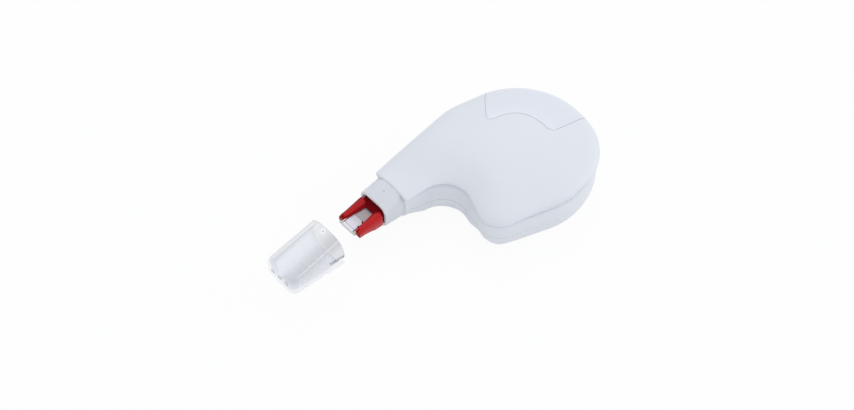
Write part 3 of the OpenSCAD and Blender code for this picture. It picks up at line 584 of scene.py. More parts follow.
last_ring = slice(1 + (len(SHARES) - 1) * stations, 1 + len(SHARES) * stations)
facing = np.roll(rim, -1, 0) - np.roll(rim, 1, 0)
toward = crown_flat[last_ring] - rim
square = np.abs(facing[:, 0] * toward[:, 1] - facing[:, 1] * toward[:, 0]) / np.linalg.norm(facing, axis=1)
rise = CROWN * crown_up[last_ring] / np.maximum(square, 1e-6)
for _ in range(SLOPE_PASSES):
    rise = (np.roll(rise, 1) + rise + np.roll(rise, -1)) / 3
slope = np.clip(rise * EDGE_W / (EDGE_TOP - CUSHION_Z), 0, MOST_SLOPE)
cut_off = slope / (1 - slope)
edge_long, edge_high = EDGE_W / (1 - cut_off), (EDGE_TOP - CUSHION_Z) / np.sqrt(1 - cut_off ** 2)


def edge_ring(inset, a):
    """Ring of the soft edge: at each station an ellipse that meets the crown at the crown's own slope."""
    flat = outline(inset, math.cos(a), tuck=TUCK * math.cos(a))
    z = CUSHION_Z + edge_high * np.sqrt(np.maximum(1 - (1 - inset / edge_long) ** 2, 0))
    z = height_above(z, flat[:, 0]) - math.sin(a) * end_round(flat[:, 0] - NECK_X)
    return np.column_stack((flat, z))


edge_rings = [edge_ring(inset, a) for inset, a in edge_insets]
print("crown points:", len(crown), "highest in mm:", round(float(crown[:, 2].max()), 2))

# %% [markdown]
# The shell itself is one closed skin: over the crown, round the edge, down the side, under the seam and back
# up along the inner wall. A round hole through the neck's end lets the collar's tail in. The posts that
# reach down to the reels are part of the same moulding: each ends in a pin, which goes into the post that
# comes up from the other half.

# %% Upper shell
SUPPLY, TAKEUP = (4.0, -2.0), (-12.8642, 11.6563)
FEED_PIN, RETURN_PIN = (-25.5311, 11.7588), (-25.5311, 16.0912)
PEGS = ((-19.0, -11.6), (-5.0, 20.3))
POSTS = ((SUPPLY, 3.0), (TAKEUP, 2.0))
POST_MEET, POST_ROOF, POST_SHOULDER, PIN_LOW, PIN_GAP = 11.6, 16.0, 0.6, 8.6, 0.05
PEG_R, PEG_PIN_R, PEG_ROOF, PEG_LOW = 1.8, 0.95, 15.3, 5.4
TAIL_R, TAIL_GAP = 4.45, 0.1
CORNER_IN, CORNER_UP = 0.3, 0.7


def turned(centre, axis, profile, steps=48):
    """A closed solid of revolution from (distance along, radius) pairs about an axis along X or Z."""
    a = np.linspace(0, math.tau, steps, endpoint=False)
    rings = []
    for along, radius in profile:
        u, v, w = centre[0] + radius * np.cos(a), centre[1] + radius * np.sin(a), np.full(steps, along)
        rings.append(np.column_stack((u, v, w) if axis == "Z" else (w, u, v)))
    return loft(rings, rings[0].mean(0), rings[-1].mean(0))


def tail_cutter():
    hole = [(x, TAIL_R + TAIL_GAP) for x in (NECK_X - 1, NECK_X + WALL + 1)]
    return raw_object("tail_cutter", turned((NECK_Y, NECK_Z), "X", hole, 96))


def inside_ring(inset, z, tuck, height):
    return ring((inset, z, 0, 0, tuck), height, end_x=NECK_X + WALL, r=0)


crown_rings = [crown[1 + i * stations:1 + (i + 1) * stations] for i in range(len(SHARES))]
roof_z = EDGE_TOP - WALL
inner_rows = (
    (SEAM_IN + WALL, SEAM_Z + SEAM_GAP, 0),
    (BAND_IN + WALL, BAND_Z, 0),
    (GROOVE_DEEP + WALL, GROOVE_Z, 0),
    (WALL, CUSHION_Z, 1),
    (WALL + (EDGE_W - WALL) * CORNER_IN, CUSHION_Z + (roof_z - CUSHION_Z) * CORNER_UP, CORNER_UP),
    (EDGE_W, roof_z, 0),
)
upper_rings = crown_rings + edge_rings + [ring(row, height_above) for row in wall_rows]
upper_rings += [inside_ring(*row, height_above) for row in inner_rows]
upper = raw_object("upper_case", loft(upper_rings, crown[0], (*DOME, roof_z)), case_white)
carve(upper, tail_cutter())
roof_posts = []
for centre, r in POSTS:
    pin, thick = r / 2 - PIN_GAP, r + POST_SHOULDER
    profile = ((PIN_LOW, pin), (POST_MEET, pin), (POST_MEET, thick), (POST_ROOF, thick))
    roof_posts.append(turned(centre, "Z", profile))
peg_top = SEAM_Z + SEAM_GAP
peg_profile = ((PEG_LOW, PEG_PIN_R), (peg_top, PEG_PIN_R), (peg_top, PEG_R), (PEG_ROOF, PEG_R))
roof_posts += [turned(centre, "Z", peg_profile) for centre in PEGS]
upper_posts = raw_object("upper_posts", joined(*roof_posts), case_white)
place(upper, "case", "case_white", "upper_shell", sharp=40)
place(upper_posts, "case", "case_white")

# %% [markdown]
# The lower shell starts at the seam with the same small round, so a thin dark line shows between the halves,
# and then curves under in a quarter ellipse to the flat face that the roller lies on. It carries the posts
# of the reels, the pins of the guide rollers and the sockets of the pegs.

# %% Lower shell
FOOT_Z, FLANGE_Z, FLANGE, SOCKET_LOW = 0.7, 4.0, 1.2, 8.2
GUIDE_PIN = ((1.6, 1.2), (5.9, 1.2), (5.9, 0.75), (11.4, 0.75))
PEG_SOCKET_R, PEG_SOCKET_LOW = 1.0, 5.0

low_seam = [side_row(SEAM_IN + d, SEAM_Z - gap) for d, gap in SEAM_ROUND[::-1]]
under_rows = []
for a in quarter(18, 4, 90):
    under_in = SEAM_IN + (EDGE_W - SEAM_IN) * (1 - math.cos(a))
    under_rows.append((under_in, SEAM_Z - SEAM_Z * math.sin(a), math.cos(a), -math.sin(a), 0))
base_rim = ring(under_rows[-1], height_below)
base_rings = []
for s in SHARES[::-1]:
    flat = DOME + (base_rim[:, :2] - DOME) * s
    base_z = height_below(np.zeros(stations), flat[:, 0]) + end_round(flat[:, 0] - NECK_X)
    base_rings.append(np.column_stack((flat, base_z)))
wall_in = WALL + SEAM_IN
floor_rows = (
    (EDGE_W, WALL, 0),
    (wall_in + (EDGE_W - WALL - SEAM_IN) * CORNER_IN, SEAM_Z - (SEAM_Z - WALL) * CORNER_UP, 0),
    (wall_in, SEAM_Z - SEAM_GAP, 0),
)
lower_rings = [inside_ring(*row, height_below) for row in floor_rows]
lower_rings += [ring(row, height_below) for row in low_seam + under_rows] + base_rings
lower = raw_object("lower_case", loft(lower_rings, (*DOME, WALL), (*DOME, 0)), case_white)
carve(lower, tail_cutter())
floor_posts = []
for centre, r in POSTS:
    profile = ((FOOT_Z, r + FLANGE), (FLANGE_Z, r + FLANGE), (FLANGE_Z, r), (POST_MEET, r),
               (POST_MEET, r / 2), (SOCKET_LOW, r / 2))
    floor_posts.append(turned(centre, "Z", profile))
floor_posts += [turned(centre, "Z", GUIDE_PIN) for centre in (FEED_PIN, RETURN_PIN)]
socket_top = SEAM_Z - SEAM_GAP
socket_profile = ((FOOT_Z, PEG_R), (socket_top, PEG_R), (socket_top, PEG_SOCKET_R),
                  (PEG_SOCKET_LOW, PEG_SOCKET_R))
floor_posts += [turned(centre, "Z", socket_profile) for centre in PEGS]
lower_posts = raw_object("lower_posts", joined(*floor_posts), case_white)
place(lower, "case", "case_white", "lower_shell", sharp=40)
place(lower_posts, "case", "case_white")

# %% [markdown]
# A thin bare film lies over the rear of the round end, from the crown down over the soft edge. Its inner
# edge bends round the middle, its corners are rounded, and its two ends run slanted to the rim. Where it
# ends, the cut edge of the film shows as a fine grey line. Its height over the crown is read from the shell
# by looking straight down on it, so it follows the swell. Its edges are drawn as (bearing, radius) knots,
# and its ends as (radius, bearing) knots, round the middle of the round end.

# %% Label film
FILM_T, FILM_SINK, FILM_CORNER = 0.06, 0.03, 2.3
FILM_FROM, FILM_SWEEP, FILM_LONG = -20.6, 116, 21.0
INNER_EDGE = np.array([(-21, 9.9), (-10, 9.8), (9, 9.9), (29, 10.4), (44, 10.9), (59, 11.0), (72, 11.1),
                       (96, 11.5)])
FAR_END = np.array([(11.0, 97), (12.6, 95), (14.5, 89), (17.2, 82), (20.4, 76.3), (24.1, 71.5)])
NEAR_END = np.array([(10.0, -20.6), (11.5, -20), (13.7, -18.7), (20.1, -15.4), (24.1, -14)])
RIM_STEPS, RIM_FROM, LOOK_FROM = 12, 20, 40
film_shares = np.concatenate(([0], np.linspace(0.006, 0.994, 96), [1]))
film_steps = np.concatenate((np.linspace(0, 0.985, 26)[1:], [1]))
cover_points, cover_faces = loft(crown_rings + edge_rings, crown[0], (*DOME, 0))
cover = BVHTree.FromPolygons([Vector(p) for p in cover_points], cover_faces)


def film_edge(share):
    """Radius of the film's inner edge at a share of its sweep, with rounded corners at both ends."""
    base = float(np.interp(FILM_FROM + FILM_SWEEP * share, *INNER_EDGE.T))
    gap = min(share, 1 - share) * FILM_LONG
    if gap < FILM_CORNER:
        base += FILM_CORNER - math.sqrt(FILM_CORNER ** 2 - (FILM_CORNER - gap) ** 2)
    return base


def film_point(share, radius, tuck, out):
    first, last = (float(np.interp(radius, *end.T)) for end in (NEAR_END, FAR_END))
    angle = math.radians(first + (last - first) * share)
    x, y = (radius - TUCK * tuck_share(angle) * tuck) * bearing(angle)
    spot, up, _, _ = cover.ray_cast(Vector((x, y, LOOK_FROM)), Vector((0, 0, -1)))
    return spot + up * out


def film_grid(out):
    rim_r = LOBE_R - EDGE_W
    grid = []
    for share in film_shares:
        column = [film_point(share, LOBE_R - EDGE_W * (1 - math.cos(a)), math.cos(a), out)
                  for a in quarter(RIM_STEPS, RIM_FROM, 90)]
        column += [film_point(share, rim_r + (film_edge(share) - rim_r) * t, 0, out) for t in film_steps]
        grid.append(column)
    return np.array(grid)


def sheet_between(upper_grid, lower_grid):
    """Closed thin solid between two grids of points with the same rows and columns."""
    rows, cols = upper_grid.shape[:2]
    points = np.concatenate((upper_grid.reshape(-1, 3), lower_grid.reshape(-1, 3)))
    half = rows * cols
    faces = []
    for i in range(rows - 1):
        for j in range(cols - 1):
            a = i * cols + j
            b = half + a
            faces += [(a, a + cols, a + cols + 1, a + 1), (b, b + 1, b + cols + 1, b + cols)]
    rim_walk = list(range(cols)) + [i * cols + cols - 1 for i in range(1, rows)]
    rim_walk += [(rows - 1) * cols + j for j in range(cols - 2, -1, -1)]
    rim_walk += [i * cols for i in range(rows - 2, 0, -1)]
    for a, b in zip(rim_walk, rim_walk[1:] + rim_walk[:1]):
        faces.append((a, b, half + b, half + a))
    return outward(points, faces)


film_top = film_grid(FILM_T)
film = raw_object("bare_film", sheet_between(film_top, film_grid(-FILM_SINK)), film_bare, film_rim)
columns, depth = film_top.shape[0] - 1, film_top.shape[1] - 1
for n, face in enumerate(film.data.polygons):
    column, row = divmod(n // 2, depth)
    if column in (0, columns - 1) or row == depth - 1 or column >= columns:
        face.material_index = 1
place(film, "case", "film", "label_film", sharp=50)

# %% [markdown]
# Everything on the neck is a rounded rectangle that shrinks along the neck axis, and a circle is one whose
# corners are as large as its half. Rings drawn by bearing from the axis keep the same number of points for
# both, so one loft can run from a square mouth into a round bore.

# %% Sections across the neck axis
SIDES = 144
CAP_MOUTH, CAP_END, CAP_LEN = (14.6, 13.2, 5.0), (12.4, 8.8, 3.1), 18.4
LEAST_CORNER = 0.3
around = np.linspace(0, math.tau, SIDES, endpoint=False)


def section(x, size, crease=None, turn=0.0):
    """Ring of a rounded rectangle (width, height, corner) square to the neck axis, its points shifted round
    by a turn. A crease is (bearing, height, width)."""
    a, b, r = size[0] / 2, size[1] / 2, size[2]
    ring_points = []
    for t in around + turn:
        c, s = abs(math.cos(t)), abs(math.sin(t))
        if s * a <= c * (b - r):
            reach = a / c
        elif c * b <= s * (a - r):
            reach = b / s
        else:
            on = c * (a - r) + s * (b - r)
            reach = on + math.sqrt(max(on * on - (a - r) ** 2 - (b - r) ** 2 + r * r, 0))
        if crease:
            off = (t - crease[0] + math.pi) % math.tau - math.pi
            reach += crease[1] * math.exp(-(off / crease[2]) ** 2)
        ring_points.append((x, NECK_Y + reach * math.cos(t), NECK_Z + reach * math.sin(t)))
    return np.array(ring_points)


def circle(x, r):
    return section(x, (2 * r, 2 * r, r))


def cap_size(share, margin):
    """Width, height and corner of the cap at a share of its length, drawn in by a margin."""
    w, h, r = (m + (e - m) * share - k * margin for m, e, k in zip(CAP_MOUTH, CAP_END, (2, 2, 1)))
    return w, h, max(r, LEAST_CORNER)


def ball(centre, r):
    steps = quarter(12, -85, 85)
    return turned(centre[:2], "Z", [(centre[2] + r * math.sin(a), r * math.cos(a)) for a in steps], 24)


print("points in a section:", SIDES)

# %% [markdown]
# The collar is the moulded stub that the cap slides over. It tapers as the cap does, has a soft lip, a
# pocket for the root of the tip and a bore in which the tip turns. One closed loft goes along the outside,
# round the lip, into the pocket, through the bore and back along the tail. A small dimple on top catches a
# bump of the cap.

# %% Nose collar
COLLAR_MARGIN, COLLAR_MOUTH, POCKET_X, BEARING_X = 1.22, -44.0, -40.6, -34.2
LIP, INNER_LIP, COLLAR_WALL, SEAT_GAP = 0.26, 0.14, 1.0, 0.02
BORE_R, BORE_BEVEL = 3.75, 0.1
DIMPLE_SHARE, DIMPLE_R, DIMPLE_LIFT = 0.4, 0.5, 0.25


def collar_size(x, inset=0.0):
    return cap_size((NECK_X - x) / CAP_LEN, COLLAR_MARGIN + inset)


pocket_size = collar_size(COLLAR_MOUTH, COLLAR_WALL)
collar_rings = [section(x, collar_size(x)) for x in np.linspace(NECK_X - SEAT_GAP, COLLAR_MOUTH + LIP, 7)]
for a in quarter(6)[1:]:
    x = COLLAR_MOUTH + LIP * (1 - math.sin(a))
    collar_rings.append(section(x, collar_size(x, LIP * (1 - math.cos(a)))))
for a in quarter(4):
    x = COLLAR_MOUTH + INNER_LIP * (1 - math.cos(a))
    collar_rings.append(section(x, collar_size(COLLAR_MOUTH, COLLAR_WALL - INNER_LIP * (1 - math.sin(a)))))
collar_rings += [section(x, pocket_size) for x in (-42.5, -41.0, POCKET_X)]
collar_rings += [circle(x, BORE_R) for x in (POCKET_X, -38.5, -36.5, BEARING_X - BORE_BEVEL)]
collar_rings += [circle(BEARING_X, r) for r in (BORE_R + BORE_BEVEL, TAIL_R - BORE_BEVEL)]
collar_rings += [circle(x, TAIL_R) for x in (BEARING_X - BORE_BEVEL, NECK_X - SEAT_GAP)]
collar = raw_object("nose_stub", loft(collar_rings, wrap=True), collar_white)
dimple_x = NECK_X + DIMPLE_SHARE * (COLLAR_MOUTH - NECK_X)
dimple_top = NECK_Z + collar_size(dimple_x)[1] / 2
carve(collar, raw_object("dimple_cutter", ball((dimple_x, NECK_Y, dimple_top + DIMPLE_LIFT), DIMPLE_R)))
place(collar, "case", "collar_white", "nose_collar", sharp=40)

# %% [markdown]
# The red tip holder grips the clear blade between two arms. Each arm has an upright outer wall, a shoulder,
# a ridge and an inner face that bulges down over the tape's edge to keep it straight. So its section is a
# polygon of thirteen corners with small bevels, and the corners move as the arm goes forward: a taper, a
# small step below and a rising underside. These moves are lists of (place along the neck, value) knots.
# Behind the arms a narrower root goes into the collar's pocket, with a slope that bridges the tape. Two small
# lugs at the foot of the near arm keep the tape's edge in line.

# %% Sections of the arms and the root
ARM_BACK, ARM_TIP = -44.6, -53.5
ARM_INSIDE, SLOPE_FOOT, SLOPE_BULGE = 2.86, 0.72, 0.16
ARM_WALL = ((ARM_BACK, 4.9), (-51.4, 4.55), (ARM_TIP, 4.7))
ARM_HIGH = ((ARM_BACK, 2.6), (-52.4, 1.75), (ARM_TIP, 1.0))
ARM_LOW = ((ARM_BACK, 2.6), (-47.9, 2.5), (-48.1, 2.2), (-50.4, 1.65), (ARM_TIP, 1.1))
ARM_RIDGE = ((ARM_BACK, 3.42), (ARM_TIP, 3.35))
NEAR_FOOT = ((-45.7, 1.5), (-52.4, 2.65), (ARM_TIP, 2.8))
FAR_FOOT = ((-45.7, 1.5), (-52.4, 2.35), (ARM_TIP, 2.8))
BACK_BEVEL = ((ARM_BACK, 0.16), (-44.64, 0.06), (-44.75, 0))
TIP_BEVEL = ((-53.38, 0), (-53.45, 0.07), (ARM_TIP, 0.16))
ARM_PLACES = (-45.7, -46.5, -47.2, -47.9, -48.0, -48.1, *np.linspace(-48.8, -53.0, 10))
ARM_STOPS = (*BACK_BEVEL, *((x, 0) for x in ARM_PLACES), *TIP_BEVEL)
ROOT_FRONT, ROOT_BACK, ROOT_W, ROOT_TOP, ROOT_LOW, ROOT_CORNER = -45.7, -41.0, 8.2, 2.4, -2.6, 0.45
ROOT_STOPS = ((ROOT_FRONT, 1.3, 0.1), (ROOT_FRONT + 0.1, 1.33, 0), (-42.6, ROOT_TOP, 0),
              (ROOT_BACK - 0.12, ROOT_TOP, 0), (ROOT_BACK, ROOT_TOP, 0.12))


def between(x, knots):
    """A value read off straight lines between (place, value) knots, places falling along the neck."""
    return float(np.interp(-x, [-at for at, _ in knots], [value for _, value in knots]))


def arm_ring(x, side, shrink=0.0):
    """Section of an arm: up the outer wall, over the ridge, down the inner slope and back underneath."""
    wall, high = between(x, ARM_WALL) - shrink, between(x, ARM_HIGH) - shrink
    low, ridge = shrink - between(x, ARM_LOW), between(x, ARM_RIDGE)
    foot = min(between(x, FAR_FOOT if side > 0 else NEAR_FOOT) + shrink, ARM_INSIDE)
    bulge = SLOPE_BULGE * min(1, high - SLOPE_FOOT)
    corners = [
        (wall, low + 0.18), (wall, high - 0.95), (wall - 0.1, high - 0.72),
        (ridge + 0.4, high - 0.06), (ridge + 0.2, high), (ridge - 0.07, high - 0.06),
        ((ridge + foot) / 2 - bulge, (high + SLOPE_FOOT) / 2 + bulge),
        (foot, SLOPE_FOOT + 0.14), (foot, SLOPE_FOOT),
        (ARM_INSIDE, SLOPE_FOOT), (ARM_INSIDE, low), (wall - 0.18, low), (wall - 0.05, low + 0.05),
    ]
    return [(x, NECK_Y + side * y, NECK_Z + z) for y, z in corners]


def root_ring(x, top, shrink):
    flat = section(x, (ROOT_W - 2 * shrink, top - ROOT_LOW - 2 * shrink, ROOT_CORNER))
    flat[:, 2] += (top + ROOT_LOW) / 2
    return flat


print("sections of an arm:", len(ARM_STOPS), "and of the root:", len(ROOT_STOPS))

# %% Red tip holder
ARM_CORNERS, SHADED_STRIPS = 13, (1, 2, 6, 7)
ARM_MIDDLE, WINDOW = (3.6, 1), (5.6, 1.5, 0.2)
JOURNAL_R, JOURNAL_HOLLOW, JOURNAL_X, JOURNAL_END = 3.7, 3.0, -41.05, -33.5
JOURNAL = ((JOURNAL_X, 3.4), (-40.5, 3.4), (-40.4, JOURNAL_R), (-38, JOURNAL_R), (-34.1, JOURNAL_R),
           (-34.1, 4.02), (-34.02, 4.1), (-33.85, 4.08), (JOURNAL_END, 3.75),
           (JOURNAL_END, JOURNAL_HOLLOW), (-38, JOURNAL_HOLLOW), (JOURNAL_X, JOURNAL_HOLLOW))
LUG = ((NECK_Z + 0.53, 0.27), (NECK_Z + 1.0, 0.27), (NECK_Z + 1.06, 0.2))
LUG_PLACES = ((-49.9, 1.9), (-51.9, 2.3))

arms = []
for side in (-1, 1):
    middle_y, middle_z = NECK_Y + ARM_MIDDLE[0] * side, NECK_Z + ARM_MIDDLE[1]
    closing = [(x, middle_y, middle_z) for x in (ARM_BACK, ARM_TIP)]
    arms.append(loft([arm_ring(x, side, shrink) for x, shrink in ARM_STOPS], *closing))
root_rings = [root_ring(*stop) for stop in ROOT_STOPS]
root = loft(root_rings + [section(x, WINDOW) for x in (ROOT_BACK, ROOT_FRONT)], wrap=True)
journal = loft([circle(x, r) for x, r in JOURNAL], wrap=True)
lugs = [turned((x, NECK_Y - y), "Z", LUG, 20) for x, y in LUG_PLACES]
# Painted shade: all faces after the arms, that is the root, the journal and the lugs, take the darker root
# red.
holder = raw_object("red_holder", joined(*arms, root, journal, *lugs), tip_red, root_shade_red, tip_shade_red)
near_faces, arm_faces = len(arms[0][1]), len(arms[0][1]) + len(arms[1][1])
# Painted shade: the far arm's listed strips and the end faces of both arms take the darker tip red.
for face in holder.data.polygons:
    on_far_arm = face.index - near_faces
    shaded = on_far_arm >= 0 and on_far_arm % ARM_CORNERS in SHADED_STRIPS or face.normal.x < -0.5
    face.material_index = 1 if face.index >= arm_faces else 2 if shaded else 0
place(holder, "tip", "tip_red", "tip_holder", sharp=28)

# %% [markdown]
# The blade is a clear tongue that ends in a round bar, and the bar presses the tape on the paper. Its side
# outline is drawn once: along the top, round the bar and back underneath. The same path a hair further out
# carries the tape. The bar itself looks milky, with greenish ends where it is thickest.

# %% Clear blade
BLADE_BACK, BLADE_HALF, BAR_X, BAR_R = -40.7, 0.4, -54.08, 0.42
JOIN_X = (-49.25, -49.65)
BLADE_EDGE = ((2.8, -0.08), (2.72, 0))
BAR_EDGE = ((3.35, 0.28), (3.31, 0.37), (3.23, BAR_R), (2.3, BAR_R))
GREEN_FROM = 2.4


def blade_path(grow, steps=16):
    run = [*np.linspace(BLADE_BACK, JOIN_X[0], 17), *np.linspace(JOIN_X[1], -53.25, 10), ARM_TIP]
    r = BAR_R + grow
    round_bar = [(BAR_X - r * math.sin(a), r * math.cos(a)) for a in quarter(steps, 0, 180)]
    return [(x, BLADE_HALF + grow) for x in run] + round_bar + [(x, -BLADE_HALF - grow) for x in run[::-1]]


def both_sides(edge):
    """Knots (distance from the middle, value) of one edge, followed by the same in a mirror."""
    return [(-y, value) for y, value in edge] + list(edge[::-1])


def closed_loft(rings):
    return loft(rings, np.mean(rings[0], 0), np.mean(rings[-1], 0))


tongue = closed_loft([[(x, NECK_Y + y, NECK_Z + z) for x, z in blade_path(grow)]
                      for y, grow in both_sides(BLADE_EDGE)])
bar_turn = np.linspace(0, math.tau, 40, endpoint=False)
bar = closed_loft([[(BAR_X + r * math.cos(a), NECK_Y + y, NECK_Z + r * math.sin(a)) for a in bar_turn]
                   for y, r in both_sides(BAR_EDGE)])
blade = raw_object("clear_blade", joined(tongue, bar), blade_clear, bar_pale, bar_end)
for face in blade.data.polygons[len(tongue[1]):]:
    face.material_index = 2 if abs(face.center.y / MM - NECK_Y) > GREEN_FROM else 1
place(blade, "tip", "blade_clear", "tip_blade", sharp=35)

# %% [markdown]
# The tape lies flat on the blade, goes round the bar and leaves below. Between the arms it is painted darker
# and pinker, as painted shade and a painted reflection of the red arms. A fine join crosses the tape, in
# front of it the tape is lighter and grows paler towards the bar, and a dark grey band just before the bar is
# painted shade. Where the tape rounds the bar it is already pressed off, so only film is left there. One mesh
# carries all the finishes, chosen by the place along the neck, and the paler coat is mixed in by the same
# place, read from the Object coordinate.

# %% Tape on the blade
TAPE_HALF, TAPE_IN, TAPE_OUT = 2.1, 0.015, 0.1
PALE_FROM, PALE_TO = -50.3, -52.2
FINISH_STEPS = (*JOIN_X, -53.26, -53.55)
coat = tape_fresh.node_tree
spot_on_tape = coat.nodes.new("ShaderNodeTexCoord")
along = coat.nodes.new("ShaderNodeSeparateXYZ")
paling = coat.nodes.new("ShaderNodeMapRange")
paling.interpolation_type = "SMOOTHSTEP"
set_inputs(paling, From_Min=PALE_FROM * MM, From_Max=PALE_TO * MM)
paler = coat.nodes.new("ShaderNodeMix")
paler.data_type = "RGBA"
set_inputs(paler, B=(0.74, 0.69, 0.78, 1))
coat_grain = next(n for n in coat.nodes if n.type == "GROUP")
connect(coat, (spot_on_tape, "Object", along, "Vector"), (along, "X", paling, "Value"),
        (paling, "Result", paler, "Factor"), (coat_grain, "Color", paler, "A"),
        (paler, "Result", coat.nodes["Principled BSDF"], "Base Color"))

tape_rings = []
for inner, outer in zip(blade_path(TAPE_IN), blade_path(TAPE_OUT)):
    corners = ((inner, -TAPE_HALF), (outer, -TAPE_HALF), (outer, TAPE_HALF), (inner, TAPE_HALF))
    tape_rings.append([(x, NECK_Y + y, NECK_Z + z) for (x, z), y in corners])
tape = raw_object("tip_band", closed_loft(tape_rings), tape_shade_and_red_reflection, tape_join, tape_fresh, tape_shade_band, bar_pale)
# Painted shade: the zone between the arms and the band before the bar take the darker tape finishes.
for face in tape.data.polygons:
    face.material_index = sum(face.center.x < x * MM for x in FINISH_STEPS)
place(tape, "tip", "tape_white", "tip_tape", sharp=40)

# %% [markdown]
# The cap is a thin clear tumbler with a rounded closed end. Its skin runs from the middle of the outer end
# along the outside, round the mouth's lip and back inside, so the wall has its true thickness and refracts
# as the real one does. One corner carries a faint raised line from end to end. Air holes, the thumb notch
# and a dimple are cut out of it.

# %% Clear cap
CAP_X, CAP_WALL, CAP_ROUND, INNER_ROUND = -61.5, 1.1, 1.5, 0.9
END_X = CAP_X - CAP_LEN + 0.1
INNER_END = END_X + 0.85
LINE_HIGH, LINE_WIDE = 0.1, 0.03
LINE_AT, LINE_DRIFT, LINE_FROM, FIRST_POINT = 130.5, 1.05, -62, 130
MOUTH_LIP = ((0.14, 0), (0.04, 0.04), (0, 0.14))


def line_bearing(x):
    """Bearing in degrees of the raised line, which drifts down towards the closed end."""
    return LINE_AT - LINE_DRIFT * (x - LINE_FROM)


def cap_ring(x, margin, raised=0.0):
    turn = math.radians(line_bearing(x))
    size = cap_size((CAP_X - x) / CAP_LEN, margin)
    return section(x, size, (turn, raised, LINE_WIDE), turn - math.radians(FIRST_POINT))


cap_rings = [cap_ring(END_X, CAP_ROUND + d) for d in (2.2, 1.0, 0.3)]
cap_rings += [cap_ring(END_X + CAP_ROUND * (1 - math.sin(a)), CAP_ROUND * (1 - math.cos(a)))
              for a in quarter(9, 90, 0)]
cap_rings += [cap_ring(x, 0, LINE_HIGH) for x in np.linspace(END_X + CAP_ROUND + 0.5, CAP_X - 0.7, 16)]
cap_rings += [cap_ring(CAP_X - 0.3, 0)] + [cap_ring(CAP_X - e, d) for e, d in MOUTH_LIP]
cap_rings += [cap_ring(CAP_X - e, CAP_WALL - d) for e, d in MOUTH_LIP[::-1]]
cap_rings += [cap_ring(x, CAP_WALL) for x in np.linspace(CAP_X - 1, INNER_END + INNER_ROUND, 14)]
for a in quarter(6)[1:]:
    x = INNER_END + INNER_ROUND * (1 - math.sin(a))
    cap_rings.append(cap_ring(x, CAP_WALL + INNER_ROUND * (1 - math.cos(a))))
cap_rings += [cap_ring(INNER_END, CAP_WALL + INNER_ROUND + d) for d in (0.5, 1.5)]
cap_skin = loft(cap_rings, (END_X, NECK_Y, NECK_Z), (INNER_END, NECK_Y, NECK_Z))
cap = raw_object("clear_cap", cap_skin, cap_clear, vent_shade_grey, notch_shade_grey)
print("sections of the cap:", len(cap_rings))

# %% Openings of the cap
VENT_R, VENT_STEP, VENT_Z = 0.55, 3.0, NECK_Z
NOTCH_LONG, NOTCH_TOP, NOTCH_SIDE = 5, 0.25, -5
NOTCH = ((-9, -2.5), (-9, NOTCH_TOP), (NOTCH_SIDE, NOTCH_TOP), (NOTCH_SIDE, -2.5))
SNAP_R, SNAP_LIFT, SNAP_SHADE_DOT, ON_TOP = 0.7, 0.25, 0.28, NECK_Z + 5

vent_profile = ((END_X - 1, VENT_R), (INNER_END + 0.5, VENT_R))
vents = [turned((NECK_Y + k * VENT_STEP, VENT_Z), "X", vent_profile, 32) for k in (-1, 0, 1)]
carve(cap, raw_object("vent_cutter", joined(*vents)))
notch = [[(x, NECK_Y + y, NECK_Z + z) for y, z in NOTCH] for x in (CAP_X - NOTCH_LONG, CAP_X + 1)]
carve(cap, raw_object("notch_cutter", closed_loft(notch)))
snap_x, snap_y = CAP_X - 1.2, NECK_Y + 0.5
snap_top = NECK_Z + cap_size((CAP_X - snap_x) / CAP_LEN, 0)[1] / 2
carve(cap, raw_object("snap_cutter", ball((snap_x, snap_y, snap_top + SNAP_LIFT), SNAP_R)))


def on_snap(x, y, z, reach):
    return math.hypot(x - snap_x, y - snap_y) < reach and z > ON_TOP


for face in cap.data.polygons:
    x, y, z = face.center / MM
    # Painted shade: a dark dot in the middle of the dimple.
    if on_snap(x, y, z, SNAP_SHADE_DOT):
        face.material_index = 1
    # Painted shade: the notch's upper cut face takes the grey line.
    elif abs(z - NECK_Z - NOTCH_TOP) < 0.02 and y < NECK_Y + NOTCH_SIDE and x > CAP_X - NOTCH_LONG - 0.1:
        face.material_index = 2
print("cut into the cap:", len(vents), "air holes, a notch and a dimple")

# %% [markdown]
# The clear cap is tinted point by point with painted shade and painted highlights: darker on both sides of
# the raised line, along the far edge, faintly on the near side and near the mouth, and lighter along the
# raised line and round the dimple. Each point keeps that level as a colour attribute, and the clear finish
# reads it as its tint.

# %% Painted shade and highlights of the cap
WALL_CLEAR, WALL_RED, WALL_GREEN, WALL_BLUE = 0.93, 0.97, 0.985, 1.02
LINE_SHADE, SHADE_ABOVE, SHADE_BELOW = 0.23, 18, 30
LINE_LIGHT, LIGHT_WIDE, LIGHT_FADE = 0.4, 1.4, 0.8
SIDE_SHADES = ((44, 0.25, 9), (172, 0.05, 16), (235, 0.06, 20))
MOUTH_SHADE, MOUTH_FROM, MOUTH_FADE, MOUTH_SECTOR = 0.1, 5, 1.5, (60, 180)
SNAP_PAINTED_HIGHLIGHT = 0.75


def bell(off, width):
    return math.exp(-(off / width) ** 2)


